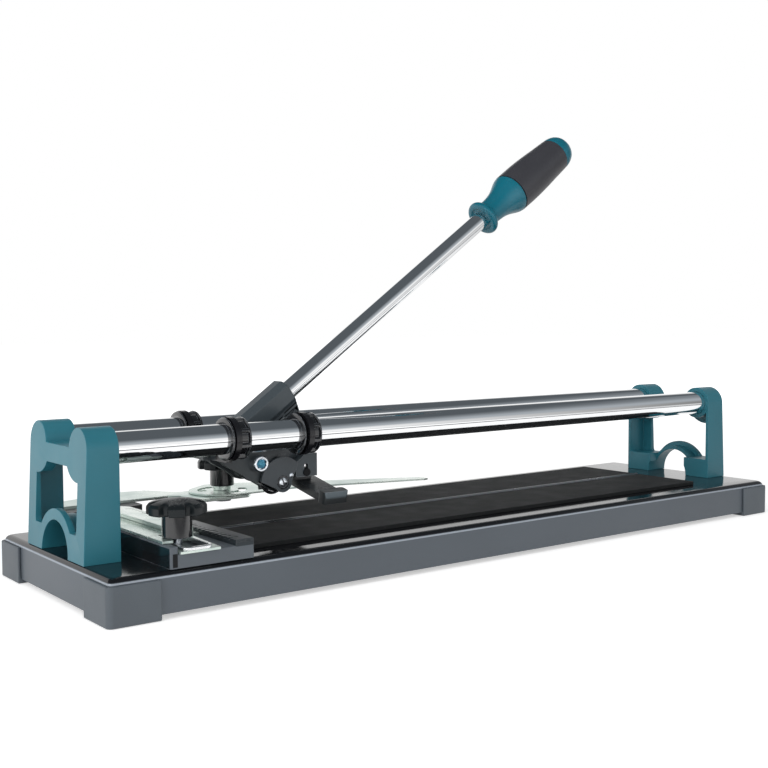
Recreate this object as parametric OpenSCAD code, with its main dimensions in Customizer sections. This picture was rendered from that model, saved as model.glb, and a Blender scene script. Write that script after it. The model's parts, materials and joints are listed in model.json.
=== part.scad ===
// Manual tile cutter: pressed-steel bed, two chrome guide rails in moulded end
// brackets, a sliding carriage with a scoring and breaking lever, and a fence with
// a swivelling side stop.
// Millimetres. +X runs along the cut to the right, +Y away from the fence knob's side, +Z up.
// The origin is on the bench, under the middle of the breaking bar.

/* [Bed] */
// Length of the pressed bed
bed_l = 616; // [580:4:760]
// Width of the pressed bed
bed_w = 174; // [168:2:220]
// Height of the bed's top face above the bench
bed_h = 28; // [26:0.5:36]
// Gap between the bed's skirt and the bench
skirt_gap = 3; // [2.5:0.5:5]
// Sheet thickness of the bed
sheet_t = 1.5; // [1:0.1:2]
// Outer radius of the fold round the top face
fold_r = 4; // [3:0.5:6]
// Outer radius of the bed's upright corners
bed_corner_r = 3; // [2.5:0.5:4]

/* [Corner boots] */
// Length of a boot along the bed
boot_l = 33.4; // [26:0.2:44]
// Length of a boot across the bed
boot_w = 35; // [26:0.5:44]
// Height of bare skirt left above a boot
boot_reveal = 4; // [3:0.5:8]
// Thickness of a boot's outer wall
boot_t = 2; // [1.5:0.25:3]
// Outer radius of a boot's upright edge
boot_r = 4; // [2:0.5:5]
// Thickness of the lip inside the skirt
lip_t = 2; // [1.5:0.25:3]
// Height of the lip inside the skirt
lip_h = 16; // [8:1:18]

/* [Pads and breaking bar] */
// Thickness of the two tile pads
pad_t = 3; // [2:0.25:4]
// Width of one pad
pad_w = 61.6; // [50:0.4:64]
// Gap between a pad and the breaking bar
pad_gap = 0.6; // [0.2:0.1:1.5]
// Clear bed between the pads and the right bracket
pad_clear = 42; // [20:1:60]
// Clear bed between the pads and the fence blocks
pad_inset = 10; // [4:1:30]
// Width of the breaking bar
bar_w = 3.2; // [2:0.2:4]
// Height of the breaking bar above the bed
bar_h = 3.8; // [3.8:0.1:5]

/* [Rails] */
// Outer diameter of a rail
rail_d = 20; // [18:0.5:22]
// Wall thickness of a rail
rail_t = 1.5; // [1:0.25:3]
// Distance between the rail axes
rail_pitch = 65; // [65:1:80]
// Height of the rail axes above the bed's top face
rail_rise = 67.5; // [66:0.5:80]

/* [End brackets] */
// Setback of a bracket's outer face from the bed's end
bracket_setback = 2; // [1:0.5:8]
// Depth of a bracket along the rails
bracket_d = 23.8; // [20:0.2:30]
// Thickness of the bracket's outer plate
face_t = 5; // [4:0.25:7]
// Thickness of the bracket's side shell
shell_t = 2.8; // [2:0.2:4]
// Wall round a rail socket
socket_t = 3.7; // [3:0.1:5]
// Radius of the plate round a rail beyond the rail's own
lobe_t = 9.5; // [8:0.25:11]
// Depth of the lobe round a rail
lobe_d = 10; // [7:0.5:14]
// Width of a leg in the outer plate
leg_w = 12.7; // [11:0.2:15]
// Height of the bridge between the window and the dip
bridge_h = 12; // [8:0.5:14]
// Inside radius of the tunnel at the foot
tunnel_r = 21.5; // [17:0.25:22]
// Thickness of the arch over the tunnel in the outer plate
arch_t = 7; // [5:0.25:8]
// Depth of the vault lining the tunnel
vault_d = 14; // [10:0.5:18]
// Thickness of the vault lining
vault_t = 3; // [2:0.25:4]
// Radius of the two low corners of the window
valley_r = 5.8; // [4:0.1:6]
// Height of the foot blocks
foot_block_h = 16.5; // [14:0.5:19]
// Inward lean of the outer face
face_lean = 2.7; // [0:0.1:4]
// Diameter of the bracket screws
bracket_screw_d = 5; // [4:0.5:6]

/* [Carriage] */
// Place of the lever's pivot along the bed
carriage_x = -166.5; // [-200:0.5:180]
// Drop of the pivot below the rail axes
pivot_drop = 20.7; // [18:0.1:24]
// Length of a rail bush
bush_l = 20; // [19:0.5:24]
// Distance between the centres of the bushes on one rail
bush_pitch = 56; // [56:0.5:70]
// Wall of a bush at its flange
bush_t = 4; // [3:0.1:4.2]
// Radial running clearance of the bushes on the rails
bush_clear = 0.06; // [0.02:0.01:0.09]
// Sunk pockets round a bush
bush_pockets = 8; // [6:1:10]
// Half gap between the two side plates
side_gap = 7.3; // [7:0.1:8]
// Thickness of a side plate
side_t = 4; // [3:0.25:4.5]
// Radius of the side plates round the pivot
side_hub_r = 13; // [11:0.25:14]

/* [Lever] */
// Angle of the lever above the bed
lever_angle = 35.1; // [25:0.1:45]
// Distance of the rod's axis from the pivot
rod_offset = 18.6; // [17:0.1:21]
// Diameter of the rod
rod_d = 10; // [8:0.25:12]
// Bare length of rod between casting and grip
rod_l = 226; // [160:1:300]
// Diameter of the pivot bolt's shank
pivot_d = 8; // [6:0.25:8.5]
// Width of the casting's block
block_w = 24; // [22:0.5:25]
// Length of the casting's block
block_l = 44; // [36:0.5:46]
// Width of the casting's thin body
body_w = 14; // [12:0.2:14]

/* [Grip] */
// Length of the grip's front part, from its lip to the sleeve
grip_front_l = 50; // [40:1:60]
// Length of the soft sleeve
sleeve_l = 63; // [50:1:90]
// Length of the end cap
cap_l = 11; // [8:0.5:16]
// Largest diameter of the grip
grip_d = 35; // [30:0.5:40]
// Diameter of the neck
neck_d = 20.8; // [18:0.2:26]
// Diameter of the lip next to the rod
lip_d = 25; // [22:0.5:28]
// Diameter of the grip at the end cap
tail_d = 27; // [24:0.5:30]
// Thickness of the soft sleeve
sleeve_t = 3; // [2:0.25:4]

/* [Scoring wheel] */
// Diameter of the scoring wheel
wheel_d = 20; // [16:0.5:22]
// Thickness of the scoring wheel
wheel_t = 3.2; // [2.4:0.1:3.4]
// Diameter of the wheel's axle screw
axle_d = 6; // [4:0.25:6]
// Radius of the quadrant-shaped cover
cover_r = 17.6; // [15:0.2:18]
// Thickness of the cover
cover_t = 2.2; // [1.5:0.1:3]

/* [Breaker foot] */
// Span of the foot across the breaking bar, over its caps
foot_span = 88; // [70:1:92]
// Width of the foot along the bed
foot_w = 19; // [15:0.5:19.5]
// Droop of each wing of the foot
foot_droop = 11.5; // [6:0.5:13]
// Diameter of the foot's pin
foot_pin_d = 3.6; // [3:0.1:4]

/* [Fence] */
// Clear bed between the left bracket's outer face and the fence blocks
fence_x = 36; // [34:0.5:60]
// Width of a fence block along the bed
fence_w = 55; // [55:0.5:60]
// Depth of the front block across the bed
fence_front_d = 64; // [60:1:70]
// Height of the front block
fence_front_h = 13.5; // [12:0.25:15]
// Width of the fence bar
fence_bar_w = 20; // [16:0.5:20]
// Height of the fence bar
fence_bar_h = 13; // [10:0.5:14]
// Depth of the rear block across the bed
fence_rear_d = 22; // [20:1:28]
// Reach of the fence bar beyond the breaking bar
fence_reach = 43; // [20:1:55]
// Diameter of a knob's cap
knob_d = 38; // [32:0.5:40]
// Diameter of a knob's stem
knob_stem_d = 17.6; // [14:0.2:18]
// Lobes round a knob
knob_lobes = 6; // [4:1:8]

/* [Side stop] */
// Thickness of the stop arm's sheet
arm_t = 2; // [1.5:0.1:2.5]
// Reach of the arm's paddle beyond the bed's rear edge
paddle_reach = 31; // [16:1:40]
// Thickness of the swivel blade's sheet
blade_t = 1.3; // [1:0.1:1.4]
// Place of the swivel knob to the right of the fence blocks
swivel_x = 67; // [60:0.5:90]
// Setback of the swivel knob from the bed's rear edge
swivel_setback = 16; // [12:0.5:20]
// Length of the swivel blade from its pivot to its tip
blade_l = 167; // [120:1:200]
// Angle of the blade from the line of the cut
blade_angle = 17.4; // [0:0.2:30]

/* [Hidden] */
$fn = 64;
eps = 0.01;
seat = 0.05;              // clearance of parts that are pushed together
end_x = bed_l / 2 - bracket_setback;          // outer face of a bracket
inner_x = end_x - bracket_d;                  // inner face of a bracket
rail_y = rail_pitch / 2;
rail_z = bed_h + rail_rise;
rail_r = rail_d / 2;
socket_r = rail_r + socket_t;
lobe_r = rail_r + lobe_t;
bracket_y = rail_y + socket_r;                // half width of a bracket
leg_y = bracket_y - leg_w;                    // inner side of a leg
dip_z = rail_z + 0.9;                         // floor of the dip between the uprights
arch_r = tunnel_r + arch_t;
rail_seat = face_t + 0.5;                     // from a bracket's face to a rail's end
pivot_z = rail_z - pivot_drop;
bush_r = rail_r + bush_t;
bush_x = bush_pitch / 2;
side_y = side_gap + side_t;                   // outer face of a side plate
groove_x = [2.4, 6.6];                        // a bush's groove, from its left end
groove_r = rail_r + 2.3;
body_y = body_w / 2;
block_x = [4.4, 4.4 + block_l];               // the block along the rod, from the pivot
hub_line = side_hub_r + 0.6 - rod_offset;     // lowest point of the block beside the body
wheel_at = [19.2, -14.7];                     // wheel axis from the pivot, along X and Z
rivet_at = [26.6, -10.4];
cover_y = 12.4;                               // inner face of the wheel cover
foot_at = [40.1, -9.6];                       // foot pin from the pivot
cheek_y = [8, 12];                            // a cheek of the foot's clevis
cheek_x = [31.4, 49.1];
cheek_z = [-12.6, 3.6];
bridge_z = -1.8;                              // underside of the bridge between the cheeks
slot_rise = 4.4;                              // length of the slot between its end centres
foot_x = [33.5, 33.5 + foot_w];
wing_z = [-18.8, -13.4];                      // underside and top of the foot at its middle
fence_l = -end_x + fence_x;                   // left side of the fence blocks
fence_r = fence_l + fence_w;                  // right side of the fence blocks
fence_front_y = -bed_w / 2 + 1;
front_top = bed_h + fence_front_h;
tab_t = 1.6;                                  // sheet of the fence bar's clamping tab
knob_at = [fence_l + 14, fence_front_y + 18]; // the fence knob
knob_seat_z = front_top + tab_t;
lid_t = 1.5;                                  // thickness of the fence bar's lid
bar_groove = 3.4;                             // height of the groove under the lid
bar_slot_r = 6;                               // half width of the bar's slot
bar_x = [fence_l + 16, fence_l + 16 + fence_bar_w];
bar_z = [front_top - 6.3, front_top - 6.3 + fence_bar_h];   // underside and top of the fence bar
bar_y0 = knob_at[1] + knob_stem_d / 2 + 1;    // near end of the fence bar's channel section
strip_x = fence_r - 18;                       // left side of the scale strip
rear_top = bed_h + fence_front_h;             // top of the rear block, under the arm
play = 0.3;                                   // gap between parts that move on each other
arm_z = rear_top;
blade_z = arm_z + arm_t + play;
swivel_at = [fence_r + swivel_x, bed_w / 2 - swivel_setback];
grip_x = block_x[1] + 6 + rod_l - 6;          // the grip's lip, along the rod from the pivot
hub_reach = 25.5;                             // from the swivel knob's axis to the hub's near edge
stud_d = 6;                                   // diameter of the two clamping studs
cap_h = 12;                                   // height of a knob's cap
stem_h = 11;                                  // height of a knob's stem

// ---------- shared shapes ----------

// Extrudes a profile drawn in X and Z from y0 to y1.
module across(y0, y1) translate([0, y1, 0]) rotate([90, 0, 0]) linear_extrude(y1 - y0) children();

// Extrudes a profile drawn in Y and Z from x0 to x1.
module along(x0, x1) translate([x0, 0, 0]) rotate([90, 0, 90]) linear_extrude(x1 - x0) children();

// A cylinder along Y from y0 to y1.
module rod_y(r, y0, y1) translate([0, y0, 0]) rotate([-90, 0, 0]) cylinder(r = r, h = y1 - y0);

// A cylinder along X from x0 to x1.
module rod_x(r, x0, x1) translate([x0, 0, 0]) rotate([0, 90, 0]) cylinder(r = r, h = x1 - x0);

// A rectangle from lo to hi with round corners.
module round_rect(lo, hi, r) {
    translate([lo[0] + r, lo[1]]) square([hi[0] - lo[0] - 2 * r, hi[1] - lo[1]]);
    translate([lo[0], lo[1] + r]) square([hi[0] - lo[0], hi[1] - lo[1] - 2 * r]);
    for (x = [lo[0] + r, hi[0] - r], y = [lo[1] + r, hi[1] - r]) translate([x, y]) circle(r);
}

// A rectangle of width w standing on the axis, its two top corners round.
module fold_rect(w, z0, z1, r) {
    translate([-w / 2, z0]) square([w, z1 - z0 - r]);
    translate([-w / 2 + r, z0]) square([w - 2 * r, z1 - z0]);
    for (s = [-1, 1]) translate([s * (w / 2 - r), z1 - r]) circle(r);
}

// A round-ended slot, drawn from one end centre to the other along +Y.
module slot2d(r, l) {
    circle(r);
    translate([0, l]) circle(r);
    translate([-r, 0]) square([2 * r, l]);
}

// Six-sided prism of width f across its flats, from y0 to y1 along Y.
module hex_y(f, y0, y1) translate([0, y0, 0]) rotate([-90, 0, 0])
    cylinder(d = f / cos(30), h = y1 - y0, $fn = 6);

// Moves its children to the lever's pivot.
module at_pivot() translate([carriage_x, 0, pivot_z]) children();

// Moves its children to the pivot and turns +X along the rod.
module along_lever() at_pivot() rotate([0, -lever_angle, 0]) children();

// ---------- bed ----------

module tray(l, w, z0, z1, r, corner_r) intersection() {
    along(-l / 2, l / 2) fold_rect(w, z0, z1, r);
    across(-w / 2, w / 2) fold_rect(l, z0, z1, r);
    translate([0, 0, z0]) linear_extrude(z1 - z0)
        round_rect([-l / 2, -w / 2], [l / 2, w / 2], corner_r);
}

function bracket_screw_y() = (tunnel_r + bracket_y) / 2;

function fence_screw_points() = [
    [fence_l + 7, fence_front_y + 40], [fence_r - 8, fence_front_y + 50],
    [fence_l + 12, bed_w / 2 - 12], [fence_r - 12, bed_w / 2 - 12]];

module bed() color([0.07, 0.07, 0.08]) difference() {
    tray(bed_l, bed_w, skirt_gap, bed_h, fold_r, bed_corner_r);
    tray(bed_l - 2 * sheet_t, bed_w - 2 * sheet_t, skirt_gap - 1, bed_h - sheet_t,
        fold_r - sheet_t, bed_corner_r - sheet_t);
    for (sx = [-1, 1], sy = [-1, 1])
        translate([sx * (end_x - bracket_d / 2), sy * bracket_screw_y(), bed_h - sheet_t - 1])
            cylinder(d = bracket_screw_d + 0.5, h = sheet_t + 2);
    for (p = fence_screw_points())
        translate([p[0], p[1], bed_h - sheet_t - 1]) cylinder(d = 4.5, h = sheet_t + 2);
}

// A boot on the corner that lies towards sx, sy: a foot, an outer wall and an inner lip.
module boot(sx, sy) color([0.36, 0.37, 0.4])
    translate([sx * bed_l / 2, sy * bed_w / 2, 0]) mirror([sx < 0 ? 0 : 1, 0, 0])
    mirror([0, sy < 0 ? 0 : 1, 0]) difference() {
        linear_extrude(bed_h - boot_reveal) boot_outline();
        translate([0, 0, skirt_gap]) linear_extrude(bed_h) difference() {
            square([boot_l, boot_w]);
            translate([bed_corner_r, bed_corner_r]) mirror([1, 1]) difference() {
                square(bed_corner_r + eps);
                circle(bed_corner_r);
            }
            translate([sheet_t, sheet_t]) square([boot_l, boot_w]);
        }
        translate([0, 0, skirt_gap]) linear_extrude(bed_h)
            translate([sheet_t + lip_t, sheet_t + lip_t]) square([boot_l, boot_w]);
        translate([0, 0, lip_h]) linear_extrude(bed_h)
            translate([sheet_t - eps, sheet_t - eps]) square([boot_l, boot_w]);
    }

module boot_outline() translate([-boot_t, -boot_t]) {
    translate([boot_r, 0]) square([boot_l - boot_r, boot_w]);
    translate([0, boot_r]) square([boot_l, boot_w - boot_r]);
    translate([boot_r, boot_r]) circle(boot_r);
}

// ---------- pads and breaking bar ----------

function pad_x() = [fence_r + pad_inset, inner_x - pad_clear];

module pad(side) color([0.15, 0.15, 0.16]) translate([0, 0, bed_h]) linear_extrude(pad_t)
    mirror([0, side < 0 ? 1 : 0])
    round_rect([pad_x()[0], bar_w / 2 + pad_gap], [pad_x()[1], bar_w / 2 + pad_gap + pad_w], 1.5);

module breaking_bar() color([0.6, 0.61, 0.63]) along(pad_x()[0], pad_x()[1]) {
    translate([-bar_w / 2, bed_h]) square([bar_w, bar_h - bar_w / 2]);
    translate([0, bed_h + bar_h - bar_w / 2]) circle(bar_w / 2);
}

// ---------- end brackets ----------

// The bracket seen along the rails, drawn inset by i on all its free sides.
module bracket_outline(i) {
    z0 = bed_h - (i > 0 ? 1 : 0);
    for (s = [-1, 1]) translate([s * rail_y, rail_z]) circle(socket_r - i);
    translate([-bracket_y + i, z0]) square([2 * (bracket_y - i), rail_z - z0]);
    translate([-rail_y, z0]) square([2 * rail_y, dip_z - i - z0]);
}

// Centre of a low corner of the window, which touches the leg and just laps the arch.
function valley_y() = leg_y - valley_r;
function valley_z() = bed_h + sqrt(pow(arch_r + valley_r - 0.4, 2) - pow(valley_y(), 2));
function touch(at) = at * arch_r / (arch_r + valley_r);

module bracket_window() difference() {
    union() {
        translate([-leg_y, valley_z()]) square([2 * leg_y, dip_z - bridge_h - valley_z()]);
        for (s = [-1, 1]) translate([s * valley_y(), valley_z()]) circle(valley_r);
        translate([-valley_y(), bed_h + touch(valley_z() - bed_h)])
            square([2 * valley_y(), valley_z() - bed_h - touch(valley_z() - bed_h)]);
    }
    translate([0, bed_h]) circle(arch_r);
    for (s = [-1, 1]) translate([s * rail_y, rail_z]) circle(lobe_r);
}

// The moulded bracket of the right end: an outer plate, a side shell, rail sockets,
// foot blocks that take the screws, and a vault over the tunnel.
module bracket_body() difference() {
    union() {
        along(end_x - face_t, end_x) difference() { bracket_outline(0); bracket_window(); }
        along(inner_x, end_x) difference() { bracket_outline(0); bracket_outline(shell_t); }
        along(inner_x, end_x) for (s = [-1, 1]) translate([s * rail_y, rail_z]) circle(socket_r);
        along(end_x - lobe_d, end_x) intersection() {
            bracket_outline(0);
            for (s = [-1, 1]) translate([s * rail_y, rail_z]) circle(lobe_r);
        }
        for (s = [-1, 1]) along(inner_x, end_x) mirror([s < 0 ? 1 : 0, 0])
            translate([tunnel_r - 2, bed_h]) square([bracket_y - tunnel_r + 2, foot_block_h]);
        along(end_x - vault_d, end_x) intersection() {
            translate([0, bed_h]) circle(tunnel_r + vault_t);
            translate([-bracket_y, bed_h]) square([2 * bracket_y, arch_r]);
        }
    }
    along(inner_x - 1, end_x + 1) translate([0, bed_h]) circle(tunnel_r);
    for (s = [-1, 1]) {
        translate([0, s * rail_y, rail_z]) rod_x(rail_r + seat, inner_x - 1, end_x - rail_seat);
        translate([end_x - bracket_d / 2, s * bracket_screw_y(), bed_h - 1])
            cylinder(d = bracket_screw_d, h = foot_block_h - 2);
    }
    translate([end_x, -bracket_y - 1, bed_h - 1]) rotate([0, -face_lean, 0])
        cube([20, 2 * bracket_y + 2, rail_rise + 40]);
}

module left_bracket() color([0.24, 0.46, 0.52]) mirror([1, 0, 0]) bracket_body();

module right_bracket() color([0.24, 0.46, 0.52]) bracket_body();

module bracket_screws() color([0.7, 0.71, 0.74]) for (sx = [-1, 1], sy = [-1, 1])
    translate([sx * (end_x - bracket_d / 2), sy * bracket_screw_y(), bed_h - sheet_t])
        screw_up(bracket_screw_d, foot_block_h + sheet_t - 4);

// A pan-head screw that points up from the underside of the bed.
module screw_up(d, l) {
    cylinder(d = d, h = l);
    difference() {
        translate([0, 0, -0.55 * d]) cylinder(d = 2 * d, h = 0.55 * d);
        translate([-0.6 * d, -0.1 * d, -0.56 * d]) cube([1.2 * d, 0.2 * d, 0.25 * d]);
        translate([-0.1 * d, -0.6 * d, -0.56 * d]) cube([0.2 * d, 1.2 * d, 0.25 * d]);
    }
}

// ---------- rails ----------

module rail(side) color([0.82, 0.83, 0.85]) translate([0, side * rail_y, rail_z]) difference() {
    rod_x(rail_r, -end_x + rail_seat, end_x - rail_seat);
    rod_x(rail_r - rail_t, -end_x, end_x);
}

// ---------- carriage ----------

// A plastic sleeve that runs on a rail, its left end at the origin.
module bush_shape() rotate([0, 90, 0]) difference() {
    rotate_extrude() polygon([
        [rail_r + bush_clear, 0], [bush_r - 0.6, 0], [bush_r, 0.6], [bush_r, 2],
        [groove_r, groove_x[0]], [groove_r, groove_x[1]], [bush_r, groove_x[1]],
        [bush_r, bush_l - 0.6], [bush_r - 0.6, bush_l], [rail_r + bush_clear, bush_l]]);
    for (i = [0:bush_pockets - 1]) rotate([0, 0, (i + 0.5) * 360 / bush_pockets])
        translate([bush_r - 1, -0.37 * bush_r * sin(180 / bush_pockets) * 2, groove_x[1] + 1.9])
            cube([3, 0.74 * bush_r * sin(180 / bush_pockets) * 2, bush_l - groove_x[1] - 3.6]);
}

module bush(sx, sy) color([0.05, 0.05, 0.06])
    translate([carriage_x + sx * bush_x - bush_l / 2, sy * rail_y, rail_z]) bush_shape();

// One side plate of the frame seen along Y, from the pivot.
module side_plate() difference() {
    union() {
        circle(side_hub_r);
        polygon([
            [-bush_x - bush_l / 2 + groove_x[1], 12], [-bush_x - bush_l / 2 - 3, 12],
            [-bush_x - bush_l / 2 - 3, 5], [-28.5, 4.3], [-25, 0.3],
            [-13.5, -6.2], [-3, -side_hub_r + 0.35], [0, 0], [-side_hub_r + 2, 6.6], [-15, 7.6]]);
        polygon([[0, side_hub_r], [web_x(1)[0], 18.5], [web_x(1)[1], 18.5], [web_x(1)[1], 10],
            [side_hub_r - 1, 2], [0, 0]]);
    }
    circle(d = pivot_d + 2 * seat);
}

// X range of the webs that reach out to the bushes on side sx, from the pivot.
function web_x(sx) = [sx * bush_x - bush_l / 2 + groove_x[0] + 0.1,
    sx * bush_x - bush_l / 2 + groove_x[1] - 0.1];

module bush_ring(sx, sy) difference() {
    union() {
        translate([0, sy * rail_y, pivot_drop]) rod_x(bush_r + 0.6, web_x(sx)[0], web_x(sx)[1]);
        ring_web(sx, sy);
    }
    translate([0, sy * rail_y, pivot_drop]) rod_x(groove_r + seat, web_x(sx)[0] - 1, web_x(sx)[1] + 1);
}

module ring_web(sx, sy) {
    z = sx < 0 ? [5, 16] : [13.6, 18.5];
    translate([web_x(sx)[0], sy > 0 ? side_gap : -rail_y, z[0]])
        cube([web_x(sx)[1] - web_x(sx)[0], rail_y - side_gap, z[1] - z[0]]);
}

module carriage_frame() color([0.3, 0.31, 0.33]) at_pivot() {
    for (s = [-1, 1]) across(s > 0 ? side_gap : -side_y, s > 0 ? side_y : -side_gap) side_plate();
    for (sx = [-1, 1], sy = [-1, 1]) bush_ring(sx, sy);
    across(-side_y, side_y)
        round_rect([-bush_x - bush_l / 2 - 3, 5], [-bush_x - bush_l / 2 + groove_x[1] - 0.1, 12], 2);
}

module pivot_bolt() color([0.72, 0.75, 0.8]) at_pivot() difference() {
    union() {
        rod_y(pivot_d / 2, -side_y - 5.6, side_y + 6.5);
        rod_y(5.6, -side_y - 10.6, -side_y - 5.6);
    }
    hex_y(5, -side_y - 11, -side_y - 7.6);
}

module pivot_sleeve() color([0.75, 0.76, 0.78]) at_pivot() difference() {
    rod_y(5.4, -side_y - 5.6, -side_y);
    rod_y(pivot_d / 2 + seat, -side_y - 6, -side_y + 1);
}

module pivot_nut() color([0.7, 0.71, 0.73]) at_pivot() difference() {
    union() {
        hex_y(13, side_y + 1, side_y + 6);
        rod_y(7.5, side_y, side_y + 1);
    }
    rod_y(pivot_d / 2 + seat, side_y - 1, side_y + 7);
}

// ---------- lever ----------

// Section of the casting's block across the rod, its top corners broadly chamfered.
module block_section() polygon([
    [-block_w / 2 + 5, 13.2], [block_w / 2 - 5, 13.2], [block_w / 2, 8.4], [block_w / 2, -2.6],
    [body_y, hub_line], [body_y, -9], [-body_y, -9], [-body_y, hub_line], [-block_w / 2, -2.6],
    [-block_w / 2, 8.4]]);

module lever_block() along_lever() translate([0, 0, rod_offset]) intersection() {
    along(block_x[0], block_x[1]) block_section();
    across(-block_w / 2 - 1, block_w / 2 + 1) polygon([
        [block_x[0], -10], [block_x[0], 6], [block_x[0] + 5, 13.3], [block_x[1] - 6, 13.3],
        [block_x[1], 8], [block_x[1], -10]]);
}

// The thin body of the casting seen along Y, from the pivot.
module lever_body() {
    circle(r = 12);
    rotate(lever_angle) translate([-7, 0]) square([27, 12]);
    hull() {
        translate([2, -2]) circle(r = 9.5);
        translate(wheel_at) circle(r = 7.4);
    }
    polygon([[25, 37], [35.2, 43], [38, 33], [cheek_x[1], cheek_z[1]], [cheek_x[1], -2],
        [cheek_x[1] - 6, -2], [31.5, 30], [24, 29]]);
}

module foot_clevis() difference() {
    across(-cheek_y[1], cheek_y[1]) polygon([
        [cheek_x[0] + 8, cheek_z[1]], [cheek_x[1], cheek_z[1]], [cheek_x[1], cheek_z[0]],
        [cheek_x[0] + 1, cheek_z[0]], [cheek_x[0], cheek_z[0] + 1], [cheek_x[0], -2.5]]);
    across(-cheek_y[0], cheek_y[0]) translate([cheek_x[0] - 1, cheek_z[0] - 1])
        square([cheek_x[1] - cheek_x[0] + 2, bridge_z - cheek_z[0] + 1]);
    across(-cheek_y[1] - 1, cheek_y[1] + 1) translate(foot_at)
        slot2d(foot_pin_d / 2 + seat, slot_rise);
}

module lever_casting() color([0.29, 0.31, 0.34]) difference() {
    union() {
        lever_block();
        at_pivot() {
            difference() {
                across(-body_y, body_y) lever_body();
                across(-cheek_y[0], cheek_y[0]) translate([cheek_x[0] - 1, cheek_z[0] - 4])
                    square([cheek_x[1] - cheek_x[0] + 2, bridge_z - cheek_z[0] + 4]);
            }
            foot_clevis();
            translate([wheel_at[0], 0, wheel_at[1]]) rod_y(4.8, -cover_y, -body_y + 1);
            translate([rivet_at[0], 0, rivet_at[1]]) rod_y(2.8, -cover_y, 0);
        }
    }
    at_pivot() {
        rod_y(pivot_d / 2 + seat, -block_w, block_w);
        translate([wheel_at[0], 0, wheel_at[1]]) {
            rod_y(axle_d / 2 + seat / 2, -block_w, block_w);
            rod_y(wheel_d / 2 + 1.4, -wheel_t / 2 - 0.3, wheel_t / 2 + 0.3);
        }
        translate([rivet_at[0], 0, rivet_at[1]]) rod_y(1.5, -cover_y - 1, -4);
    }
    along_lever() translate([0, 0, rod_offset]) rod_x(rod_d / 2 + seat / 2, block_x[1] - 34, 90);
}

module lever_rod() color([0.85, 0.86, 0.88]) along_lever() translate([0, 0, rod_offset])
    rod_x(rod_d / 2, block_x[1] - 34, grip_x + grip_front_l + sleeve_l - 20);

// ---------- grip ----------

function ease(t) = t * t * (3 - 2 * t);
function blend(a, b, t) = a + (b - a) * ease(t);
function sleeve_r(t) = blend(grip_d / 2, tail_d / 2, pow(t, 1.15));

module grip_revolve(points) along_lever() translate([grip_x, 0, rod_offset])
    rotate([0, 90, 0]) rotate_extrude() polygon(points);

core_r = tail_d / 2 - sleeve_t;                // core of the grip under the sleeve

module grip_front() color([0.0, 0.42, 0.5]) grip_revolve(concat(
    [[rod_d / 2 + seat / 2, 0], [neck_d / 2 - 0.6, 0]],
    [for (a = [-90:15:90]) [lip_d / 2 - 2.6 + 2.6 * cos(a), 3.6 + 2.6 * sin(a)]],
    [[neck_d / 2, 8.4]],
    [for (i = [0:12]) [blend(neck_d / 2, grip_d / 2, i / 12),
        18 + (grip_front_l - 21) * i / 12]],
    [[grip_d / 2, grip_front_l - 0.6], [grip_d / 2 - 0.6, grip_front_l],
     [core_r, grip_front_l], [core_r, grip_front_l + sleeve_l],
     [rod_d / 2 + seat / 2, grip_front_l + sleeve_l]]));

module grip_sleeve() color([0.22, 0.23, 0.25]) grip_revolve(concat(
    [[core_r + seat, grip_front_l], [grip_d / 2 - 0.7, grip_front_l]],
    [for (i = [0:14]) [sleeve_r(i / 14) + (i == 0 || i == 14 ? -0.15 : 0.1),
        grip_front_l + 0.5 + (sleeve_l - 1) * i / 14]],
    [[tail_d / 2 - 0.6, grip_front_l + sleeve_l], [core_r + seat, grip_front_l + sleeve_l]]));

module grip_cap() color([0.0, 0.42, 0.5]) translate([0, 0, 0]) grip_revolve(concat(
    [[0, grip_front_l + sleeve_l], [tail_d / 2 - 0.5, grip_front_l + sleeve_l]],
    [for (a = [0:10:90]) [(tail_d / 2) * pow(cos(a), 0.55),
        grip_front_l + sleeve_l + 0.5 + (cap_l - 0.5) * sin(a)]]));

// ---------- scoring wheel ----------

module at_wheel() at_pivot() translate([wheel_at[0], 0, wheel_at[1]]) children();

module scoring_wheel() color([0.78, 0.78, 0.8]) at_wheel() rotate([90, 0, 0]) rotate_extrude()
    polygon([[axle_d / 2 + seat, -wheel_t / 2], [wheel_d / 2 - 2.2, -wheel_t / 2],
        [wheel_d / 2, 0], [wheel_d / 2 - 2.2, wheel_t / 2], [axle_d / 2 + seat, wheel_t / 2]]);

module wheel_screw() color([0.8, 0.81, 0.84]) at_wheel() difference() {
    union() {
        rod_y(axle_d / 2, -cover_y - cover_t, body_y + 5.5);
        rod_y(3.9, -cover_y - cover_t - 1.6, -cover_y - cover_t);
    }
    hex_y(2.5, -cover_y - cover_t - 2, -cover_y - 1);
}

module wheel_nut() color([0.72, 0.73, 0.75]) at_wheel() difference() {
    hex_y(10, body_y, body_y + 5);
    rod_y(axle_d / 2 + seat, body_y - 1, body_y + 6);
}

// Quadrant-shaped plate beside the wheel, with a round hub at the axle.
module cover_outline() {
    circle(r = 7);
    intersection() {
        circle(r = cover_r);
        polygon([[0, -6.8], [-cover_r - 1, 2.2], [-cover_r - 1, cover_r + 1],
            [12.2, cover_r + 1], [12.2, 12], [7, 0]]);
    }
}

module wheel_cover() color([0.33, 0.35, 0.38]) at_wheel() difference() {
    across(-cover_y - cover_t, -cover_y) cover_outline();
    rod_y(axle_d / 2 + seat, -cover_y - cover_t - 1, -cover_y + 1);
    translate([rivet_at[0] - wheel_at[0], 0, rivet_at[1] - wheel_at[1]])
        rod_y(1.5, -cover_y - cover_t - 1, -cover_y + 1);
}

module cover_rivet() color([0.8, 0.81, 0.84]) at_pivot() translate([rivet_at[0], 0, rivet_at[1]]) {
    rod_y(1.5, -cover_y - cover_t, -4);
    rod_y(2.4, -cover_y - cover_t - 0.8, -cover_y - cover_t);
}

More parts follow.
